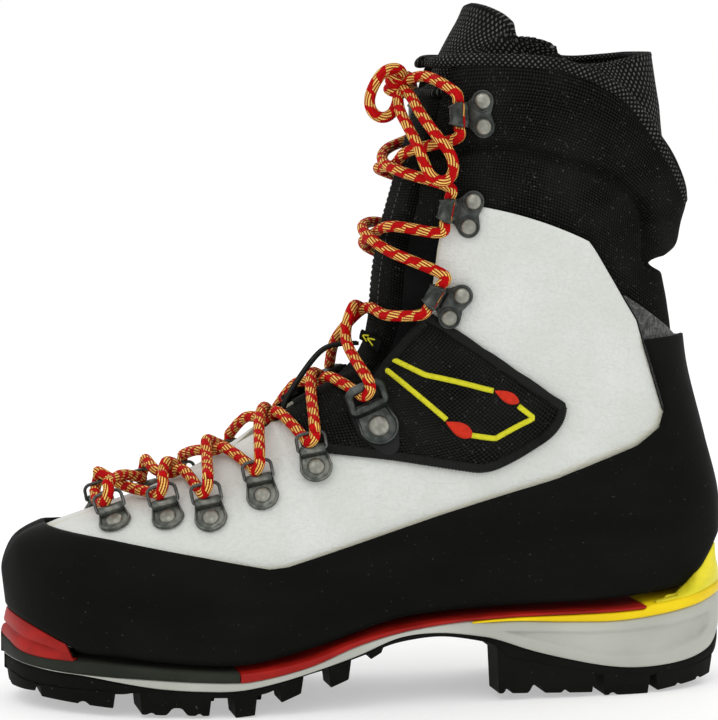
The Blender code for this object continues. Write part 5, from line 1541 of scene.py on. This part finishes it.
def rod_mesh(name, path, radius, sides=12, closed=False):
    """A tube in a fitting's own axes."""
    obj = sweep(name, np.asarray(path, float) - SHIFT, radius, sides, closed)
    mesh = obj.data
    bpy.data.objects.remove(obj)
    return mesh


def parts_mesh(name, parts):
    """One mesh from (mesh, finish) pairs, each with its own material."""
    bm = bmesh.new()
    looks = []
    for mesh, look in parts:
        if look not in looks:
            looks.append(look)
        for poly in mesh.polygons:
            poly.material_index = looks.index(look)
        bm.from_mesh(mesh)
    bmesh.ops.recalc_face_normals(bm, faces=bm.faces)
    made = bpy.data.meshes.new(name)
    bm.to_mesh(made)
    bm.free()
    for look in looks:
        made.materials.append(FINISHES[look])
    return made


def rivet_profile(radius, base, height):
    return [(radius * 1.06, base - 0.2), (radius * 1.06, base + 0.15), (radius, base + 0.4),
            (radius * 0.93, base + height * 0.55), (radius * 0.78, base + height * 0.82),
            (radius * 0.5, base + height * 0.96), (radius * 0.12, base + height)]


def clip_parts(scale, look):
    """A riveted plate with a raised rim; its straight end is rolled into the barrel that a ring turns in."""
    half, top, barrel = 6.7 * scale, HINGE_UP * scale, 5.0 * scale
    outline = np.vstack([arc(0.0, -0.2, half, 184, 356, 30), [(barrel + 0.5, top), (-barrel - 0.5, top)]])
    rim = np.vstack([[(-barrel, top - 0.6)], arc(0.0, -0.3, half - 0.6, 184, 356, 30),
                     [(barrel, top - 0.6)]])
    rim = np.concatenate([rim, np.full((len(rim), 1), PLATE_T + 0.1)], axis=1)
    height = HINGE_OUT - SEAT_GAP
    roll = [(x, top, height) for x in (-barrel, -barrel + 0.2, barrel - 0.2, barrel)]
    rivet = turned_mesh("rivet", rivet_profile(3.4 * scale, PLATE_T, 1.5), at=(0.0, -0.5 * scale))
    corners = [(x, y, z) for y, z in ((top - 3.0, PLATE_T - 0.2), (top, height + 1.85), (top, 0.3))
               for x in (-barrel, barrel)]
    ramp = local_mesh("ramp", corners, [(0, 1, 3, 2), (2, 3, 5, 4), (0, 2, 4), (1, 5, 3), (0, 4, 5, 1)])
    return [(plate_mesh("plate", outline, 0.0, PLATE_T), look), (rod_mesh("rim", rim, 0.55), look),
            (ramp, look), (rod_mesh("barrel", roll, [1.6, 1.95, 1.95, 1.6], 18), look), (rivet, "rivet")]


def ring_path(scale):
    """The D-shaped ring about its own hinge bar, which lies on the local X axis."""
    reach, half, corner = RING_REACH * scale, RING_HALF * scale, 2.4 * scale
    flat = np.vstack([arc(half - 1.0, 1.0, 1.0, -90, 0, 5),
                      arc(half - corner, reach - corner, corner, 0, 90, 8),
                      arc(corner - half, reach - corner, corner, 90, 180, 8),
                      arc(1.0 - half, 1.0, 1.0, 180, 270, 5)])
    return np.stack([flat[:, 0], flat[:, 1] * math.cos(RING_TILT), flat[:, 1] * math.sin(RING_TILT)], -1)


def hook_parts():
    """A speed hook: two rivets on a waisted plate, and a strip that curls back over the lace."""
    gap = HOOK_HALF
    outline = np.vstack([arc(gap, 0.0, 4.6, -110, 62, 16), [(gap - 0.4, 6.4), (0.4 - gap, 6.4)],
                         arc(-gap, 0.0, 4.6, 118, 290, 16), [(0.0, -3.2)]])
    inner, outer = HOOK_BEND_R, HOOK_BEND_R + PLATE_T
    centre = PLATE_T + inner
    strip = np.vstack([[(5.0, 0.0)], arc(HOOK_REACH, centre, outer, -90, 90, 14),
                       [(HOOK_REACH - 2.2, centre + outer), (HOOK_REACH - 2.2, centre + inner)],
                       arc(HOOK_REACH, centre, inner, 90, -90, 14), [(5.0, PLATE_T)]])
    n = len(strip)
    middle = np.array([HOOK_REACH, centre])
    narrow = 1.0 - 0.24 * smooth(HOOK_REACH - 1.0, HOOK_REACH + outer, strip[:, 0])
    outside = np.linalg.norm(strip - middle, axis=1) > inner + 0.5
    verts = []
    for x, raise_by in ((-1.0, -0.35), (-0.95, 0.3), (-0.86, 0.55), (-0.76, 0.45), (-0.68, 0.0), (0.68, 0.0),
                        (0.76, 0.45), (0.86, 0.55), (0.95, 0.3), (1.0, -0.35)):
        away = (strip - middle) / np.linalg.norm(strip - middle, axis=1, keepdims=True)
        lifted_strip = strip + away * (raise_by * outside)[:, None]
        verts += [(x * HOOK_HALF * f, y, z) for f, (y, z) in zip(narrow, lifted_strip)]
    faces = grid_faces(10, n, wrap=True) + [tuple(range(n))[::-1], tuple(range(9 * n, 10 * n))]
    made = [(plate_mesh("plate", outline, 0.0, PLATE_T), "gunmetal"),
            (local_mesh("curl", verts, faces), "dark_metal")]
    for x in (-gap, gap):
        rim = arc(x, 0.0, 4.15, 0, 360, 28)[:-1]
        rim = np.concatenate([rim, np.full((len(rim), 1), PLATE_T)], axis=1)
        made.append((rod_mesh("rim", rim, 0.42, 8, True), "gunmetal"))
        made.append((turned_mesh("rivet", rivet_profile(3.2, PLATE_T, 1.3), at=(x, 0.0)), "rivet"))
    return made


def lock_base():
    """The dark rounded plate that the lock sits on."""
    outline = np.vstack([arc(0.0, -8.6, 5.0, 200, 340, 14), arc(6.4, -1.0, 2.4, -20, 10, 4),
                         arc(2.8, 10.4, 5.4, 0, 90, 8), arc(-2.8, 10.4, 5.4, 90, 180, 8),
                         arc(-6.4, -1.0, 2.4, 170, 200, 4)])
    return plate_mesh("lock_base", outline, -1.5, 1.4, 0.5)


def fitting(name, mesh, matrix, body, replaces):
    obj = bpy.data.objects.new(name, mesh)
    bpy.context.scene.collection.objects.link(obj)
    obj.matrix_world = matrix
    return link(obj, body, replaces)


def clip_seat(number, side):
    return seat_matrix(*CLIP_SEATS[number - 1], side, PATCH_LIFT if number == 5 else SEAT_GAP)


def hook_seat(number, side):
    return seat_matrix(*HOOK_SEATS[number - 1], side, PATCH_LIFT if number == 1 else HOOK_LIFT)


def raised(up, out):
    return Matrix.Translation(Vector((0.0, up, out)) * MM)


def make_hardware():
    clip = parts_mesh("clip", clip_parts(1.0, "clip"))
    ring = parts_mesh("ring", [(rod_mesh("wire", ring_path(1.0), WIRE_R, 14, True), "wire")])
    lock = parts_mesh("lock", clip_parts(LOCK_SCALE, "gunmetal") + [(lock_base(), "plastic_black")])
    bar_up, bar_out = (RING_REACH * LOCK_SCALE * f(RING_TILT) for f in (math.cos, math.sin))
    roller = rod_mesh("roller", [(-5.0, bar_up, bar_out), (5.0, bar_up, bar_out)], 1.9, 18)
    loop = parts_mesh("loop", [(rod_mesh("wire", ring_path(LOCK_SCALE), 1.7, 14, True), "gunmetal"),
                               (roller, "wire")])
    hook = parts_mesh("hook", hook_parts())
    for side, name in SIDES:
        for number in range(1, len(CLIP_SEATS) + 1):
            seat = clip_seat(number, side)
            fitting(f"clip_{name}_{number}", clip, seat, "boot", [f"lace_clip_{name}_{number}"])
            hinge = seat @ raised(HINGE_UP, HINGE_OUT - SEAT_GAP)
            node = f"d_ring_{name}_{number}"
            fitting(f"ring_{name}_{number}", ring, hinge, node, [node])
        seat = seat_matrix(*LOCK_SEAT, side, PATCH_LIFT)
        fitting(f"lock_{name}", lock, seat, "boot", [f"lace_lock_{name}"])
        hinge = seat @ raised(HINGE_UP * LOCK_SCALE, HINGE_OUT - SEAT_GAP)
        fitting(f"loop_{name}", loop, hinge, f"lock_loop_{name}", [f"lock_loop_{name}"])
        for number in range(1, len(HOOK_SEATS) + 1):
            fitting(f"hook_{name}_{number}", hook, hook_seat(number, side), "boot",
                    [f"speed_hook_{name}_{number}"])


# The lace ----------------------------------------------------------------------------------------

CROSSINGS = [3.42, 4.22, 5.02, 5.92, 6.95, 11.0, 14.75, 16.95]
FIRST_ACROSS = 2.86
SHOULDER_HALF = np.array([(3.0, 7.0), (4.2, 9.0), (5.0, 13.0), (7.0, 15.0), (10.6, 20.0), (17.0, 19.0)])
SHOULDER_RUN = 4.4
TOP_RUN = (26.0, 15.0, 254.5)
KNOT_AT = np.array([18.6, 0.0, 251.0])
KNOT_R = np.array([6.2, 6.6, 6.8])


def in_design(matrix, x, y, z):
    """A point given in a fitting's own axes, in design millimetres."""
    return np.array(matrix @ (Vector((x, y, z)) * MM)) / MM - SHIFT


def ring_turn(seat, side, scale):
    """The lace's turn round a ring's far bar: in under the bar on the toe side, out over it."""
    seat = seat @ raised(HINGE_UP * scale, HINGE_OUT - SEAT_GAP)
    bar_up, bar_out = (RING_REACH * scale * f(RING_TILT) for f in (math.cos, math.sin))
    radius = WIRE_R + LACE_R + 0.75
    toward_heel = 1.0 if side == LATERAL else -1.0
    points = []
    for angle, along in ((270, -2.3), (225, -1.6), (180, 0.0), (135, 1.6), (90, 2.1), (60, 2.4)):
        a = math.radians(angle)
        points.append(in_design(seat, along * toward_heel, bar_up + radius * math.cos(a),
                                bar_out + radius * math.sin(a)))
    return points


def hook_run(seat, side):
    """The lace inside a hook's curl, from its lower end to its upper end."""
    up = 1.0 if side == LATERAL else -1.0
    centre = PLATE_T + HOOK_BEND_R
    runs = ((-9.5, HOOK_REACH + 1.6), (-5.0, HOOK_REACH), (0.0, HOOK_REACH - 0.2), (5.0, HOOK_REACH),
            (9.5, HOOK_REACH + 1.6))
    return [in_design(seat, up * x, y, centre + 0.1) for x, y in runs]


def ridge_point(u, off):
    return lifted(np.array([u]), np.array([1.0]), LATERAL, off)[0]


def shoulder(u, side, half, off):
    """A point of the lace between a fitting and the ridge."""
    u = np.array([u])
    return lifted(u, s_at_half(u, side, half), side, off)[0]


def between(number, side, over):
    """The lace from one fitting over the tongue to the next one on the other side."""
    u = CROSSINGS[number]
    floor = LACE_R + LACE_CLEAR + (1.9 if u < 3.6 else 0.0 if u < 5.6 else -3.0)
    middle = ridge_point(u, floor + (2 * LACE_R + 1.6 * LACE_CLEAR if over else 0.0))
    if number < 1:
        return [middle]
    half = float(np.interp(u, *SHOULDER_HALF.T))
    lift = LACE_R + 1.5
    ridge = rows_at(np.array([u - 0.5, u + 0.5]))[:, 2:4]
    step = SHOULDER_RUN / np.linalg.norm(ridge[1] - ridge[0])
    first = shoulder(u - step, side, half, lift + 1.5)
    if number == 5:
        first = shoulder(8.7, side, 8.5, lift + 3.5)
    return [first, middle, shoulder(u + step, -side, half, lift)]


def lace_strand(start):
    """One end of the lace: from the middle of the first straight run to the knot, crossing at each pair."""
    side = start
    route = [ridge_point(FIRST_ACROSS, LACE_R + LACE_CLEAR)]
    for number in range(9):
        if number < 5:
            route += ring_turn(clip_seat(number + 1, side), side, 1.0)
        elif number == 5:
            route += ring_turn(seat_matrix(*LOCK_SEAT, side, PATCH_LIFT), side, LOCK_SCALE)
        else:
            route += hook_run(hook_seat(number - 5, side), side)
        if number < 8:
            route += between(number, side, (number % 2 == 0) == (start == LATERAL))
            side = -side
    return route


def outside_knot(points, clear=1.0):
    return points[np.linalg.norm((points - KNOT_AT) / (KNOT_R + clear), axis=1) > 1.0]


LOOPS = {
    "bow_loop_short": [KNOT_AT, (19.6, -5.6, 256.0), (15.6, -8.0, 258.4), (10.0, -8.5, 256.4),
                       (5.8, -9.5, 250.0), (3.6, -10.5, 244.0), (5.6, -11.0, 238.6), (11.0, -11.0, 237.0),
                       (15.8, -9.0, 242.0), KNOT_AT],
    "bow_loop_long": [KNOT_AT, (21.0, -12.0, 246.5), (21.5, -25.0, 240.5), (25.0, -38.5, 231.5),
                      (29.6, -45.5, 224.0), (31.4, -46.0, 217.6), (29.6, -46.4, 213.2),
                      (25.8, -46.4, 211.8), (21.8, -45.0, 214.0), (20.0, -42.0, 219.0),
                      (18.8, -36.0, 226.0), (17.0, -25.0, 234.0), (16.0, -12.0, 242.0), KNOT_AT],
}


def make_bow():
    for name, route in LOOPS.items():
        line = outside_knot(eased(even(route, 0.9), 24), -1.2)
        obj = link(finish(sweep(name + "_cord", line, CORD_R, 16), "lace"), replaces=[name])


def make_knot():
    """The bow's knot: two wraps round a core, crossed by a third."""
    turn = np.linspace(0.0, 2 * np.pi, 60, endpoint=False)
    made = []
    for number, (rx, ry, rz, tilt, shift) in enumerate((
            (3.9, 4.1, 2.0, 0.35, (0.4, 0.0, 2.2)), (4.0, 4.2, 2.0, 0.1, (0.0, 0.0, -2.2)),
            (2.2, 3.6, 4.3, 0.9, (-1.2, 0.0, 0.0)))):
        ring = np.stack([rx * np.cos(turn), ry * np.sin(turn), rz * 0.5 * np.sin(turn + tilt)], -1)
        turned = np.array(Matrix.Rotation(tilt if number < 2 else 1.35, 3, "Y"))
        path = KNOT_AT + np.array(shift) + ring @ turned.T
        made.append(sweep(f"wrap_{number}", path, CORD_R, 14, closed=True))
    obj = joined("bow_knot", [finish(o, "lace") for o in made])
    link(obj, replaces=["lace_knot"])


def make_lace():
    for start, name in ((LATERAL, "lateral"), (MEDIAL, "medial")):
        route = lace_strand(start) + [(TOP_RUN[0], start * TOP_RUN[1], TOP_RUN[2]), KNOT_AT]
        line = outside_knot(even(route, 0.9), -1.0)
        link(finish(sweep("cord_" + name, line, CORD_R, 14), "lace"), replaces=["lace_" + name])


# Stitching and embroidery ------------------------------------------------------------------------

def capsules(name, starts, ends, radius, look, body="boot"):
    """Short round-ended threads between pairs of points, as one mesh."""
    starts, ends = np.asarray(starts, float), np.asarray(ends, float)
    along = ends - starts
    along /= np.linalg.norm(along, axis=1, keepdims=True) + 1e-12
    seed = np.where(np.abs(along[:, 2:3]) < 0.8, np.array([[0.0, 0.0, 1.0]]), np.array([[1.0, 0.0, 0.0]]))
    a = np.cross(along, seed)
    a /= np.linalg.norm(a, axis=1, keepdims=True)
    b = np.cross(along, a)
    angle = np.linspace(0, 2 * np.pi, 6, endpoint=False)
    ring = a[:, None] * np.cos(angle)[None, :, None] + b[:, None] * np.sin(angle)[None, :, None]
    rings = []
    for t, r, push in ((0, 0.45, 0.0), (0, 1.0, 0.6), (1, 1.0, -0.6), (1, 0.45, 0.0)):
        centre = (starts if t == 0 else ends) + along * push * radius
        rings.append(centre[:, None] + ring * r * radius)
    verts = np.stack(rings, axis=1)
    count = len(starts)
    faces = []
    for k in range(count):
        base = k * 24
        faces += grid_faces(4, 6, base, wrap=True)
        faces += [tuple(range(base, base + 6))[::-1], tuple(range(base + 18, base + 24))]
    obj = mesh_object(name, verts.reshape(-1, 3), faces)
    return link(finish(obj, look), body)


def stitches(name, line, length, gap, radius, look, body="boot"):
    """A row of stitches along a line of points."""
    at = np.arange(0.5, lengths_along(line)[-1] - length, length + gap)
    return capsules(name, points_at(line, at), points_at(line, at + length), radius, look, body)


def side_line(points, side, off, spacing=1.2):
    """A line on the surface through points given in side view."""
    flat = np.array(points, float)
    dense = evenly(flat, max(3, round(lengths_along(flat)[-1] / spacing)))
    seats = on_side(dense, side)
    return lifted(seats[:, 0], seats[:, 1], np.full(len(seats), side), off)


YELLOW_LINES = [[(10.6, 140.1), (23.2, 133.5), (50.3, 127.2)], [(7.2, 136.0), (30.8, 115.4)],
                [(60.4, 120.9), (66.8, 115.9), (50.4, 107.7), (40.8, 109.1)]]
RED_BLOCKS = [((51.0, 127.1), (60.6, 122.4), 5.0), ((30.6, 114.4), (41.2, 108.8), 6.0)]


def make_embroidery():
    for side, name in SIDES:
        for number, points in enumerate(YELLOW_LINES):
            line = side_line(points, side, 1.95)
            obj = sweep(f"yellow_line_{name}_{number}", line, 1.15, 8, flat=0.5, out=(0.0, side, 0.1))
            link(finish(obj, "yellow_thread"))
        for number, (start, end, wide) in enumerate(RED_BLOCKS):
            line = side_line([start, end], side, 1.9, 0.35)
            swell = 0.12 + 0.88 * np.sin(np.linspace(0.0, 1.0, len(line)) ** 1.35 * math.pi) ** 0.75
            obj = sweep(f"red_block_{name}_{number}", line, swell * wide / 2, 10, flat=0.28,
                        out=(0.0, side, 0.1))
            link(finish(obj, "red_thread"))


# The stage ---------------------------------------------------------------------------------------

def aim(obj, target):
    direction = Vector(target) - obj.location
    obj.rotation_euler = direction.to_track_quat("-Z", "Y").to_euler()


CAMERA_LENS = 156.98
CAMERA_TARGET = [2.0, 0.0, 137.5]
CAMERA_AZIMUTH, CAMERA_ELEVATION = math.radians(-12.0), math.radians(5.0)
CAMERA_DISTANCE = 1.3


def make_camera():
    data = bpy.data.cameras.new("camera")
    data.lens = CAMERA_LENS
    data.clip_end = 20.0
    camera = bpy.data.objects.new("camera", data)
    bpy.context.scene.collection.objects.link(camera)
    target = metres(CAMERA_TARGET)
    level = math.cos(CAMERA_ELEVATION)
    back = np.array([math.sin(CAMERA_AZIMUTH) * level, -math.cos(CAMERA_AZIMUTH) * level,
                     math.sin(CAMERA_ELEVATION)])
    camera.location = Vector((target + back * CAMERA_DISTANCE).tolist())
    aim(camera, target.tolist())
    bpy.context.scene.camera = camera


def area_light(name, at, size, power, target=(0.0, 0.0, 0.12)):
    data = bpy.data.lights.new(name, "AREA")
    data.shape = "RECTANGLE"
    data.size, data.size_y = size
    data.energy = power
    light = bpy.data.objects.new(name, data)
    bpy.context.scene.collection.objects.link(light)
    light.location = Vector(at)
    aim(light, target)


def make_stage():
    floor = bpy.data.objects.new("floor", bpy.data.meshes.new("floor"))
    floor.data.from_pydata([(-6, -6, 0), (6, -6, 0), (6, 6, 0), (-6, 6, 0)], [], [(0, 1, 2, 3)])
    bpy.context.scene.collection.objects.link(floor)
    paper = Finish("paper", Specular_IOR_Level=0.05, Emission_Strength=0.42)
    paper.shader.inputs["Emission Color"].default_value = (1.0, 1.0, 1.0, 1.0)
    tone = paper.mix(paper.noise(60.0, 2.0), (0.62, 0.62, 0.62), (0.64, 0.64, 0.64))
    floor.data.materials.append(paper.finish(tone, 0.9))
    world = bpy.data.worlds.new("studio")
    bpy.context.scene.world = world
    world.use_nodes = True
    world.node_tree.nodes["Background"].inputs[0].default_value = (1.0, 1.0, 1.0, 1.0)
    world.node_tree.nodes["Background"].inputs[1].default_value = 1.0
    area_light("key", (-0.9, -1.3, 1.5), (1.2, 1.0), 5.0)
    area_light("fill", (1.3, -1.4, 0.8), (1.2, 1.0), 1.5)
    area_light("rim", (0.3, 1.4, 1.3), (1.4, 0.8), 2.5)
    bpy.context.scene.view_settings.view_transform = "Standard"


make_camera()
make_bow()
make_lace()
make_knot()
make_leather()
make_rand()
make_felt()
make_patches()
make_stays()
make_cuff()
make_lining()
make_tongue()
make_sole()
make_hardware()
make_embroidery()
make_stage()
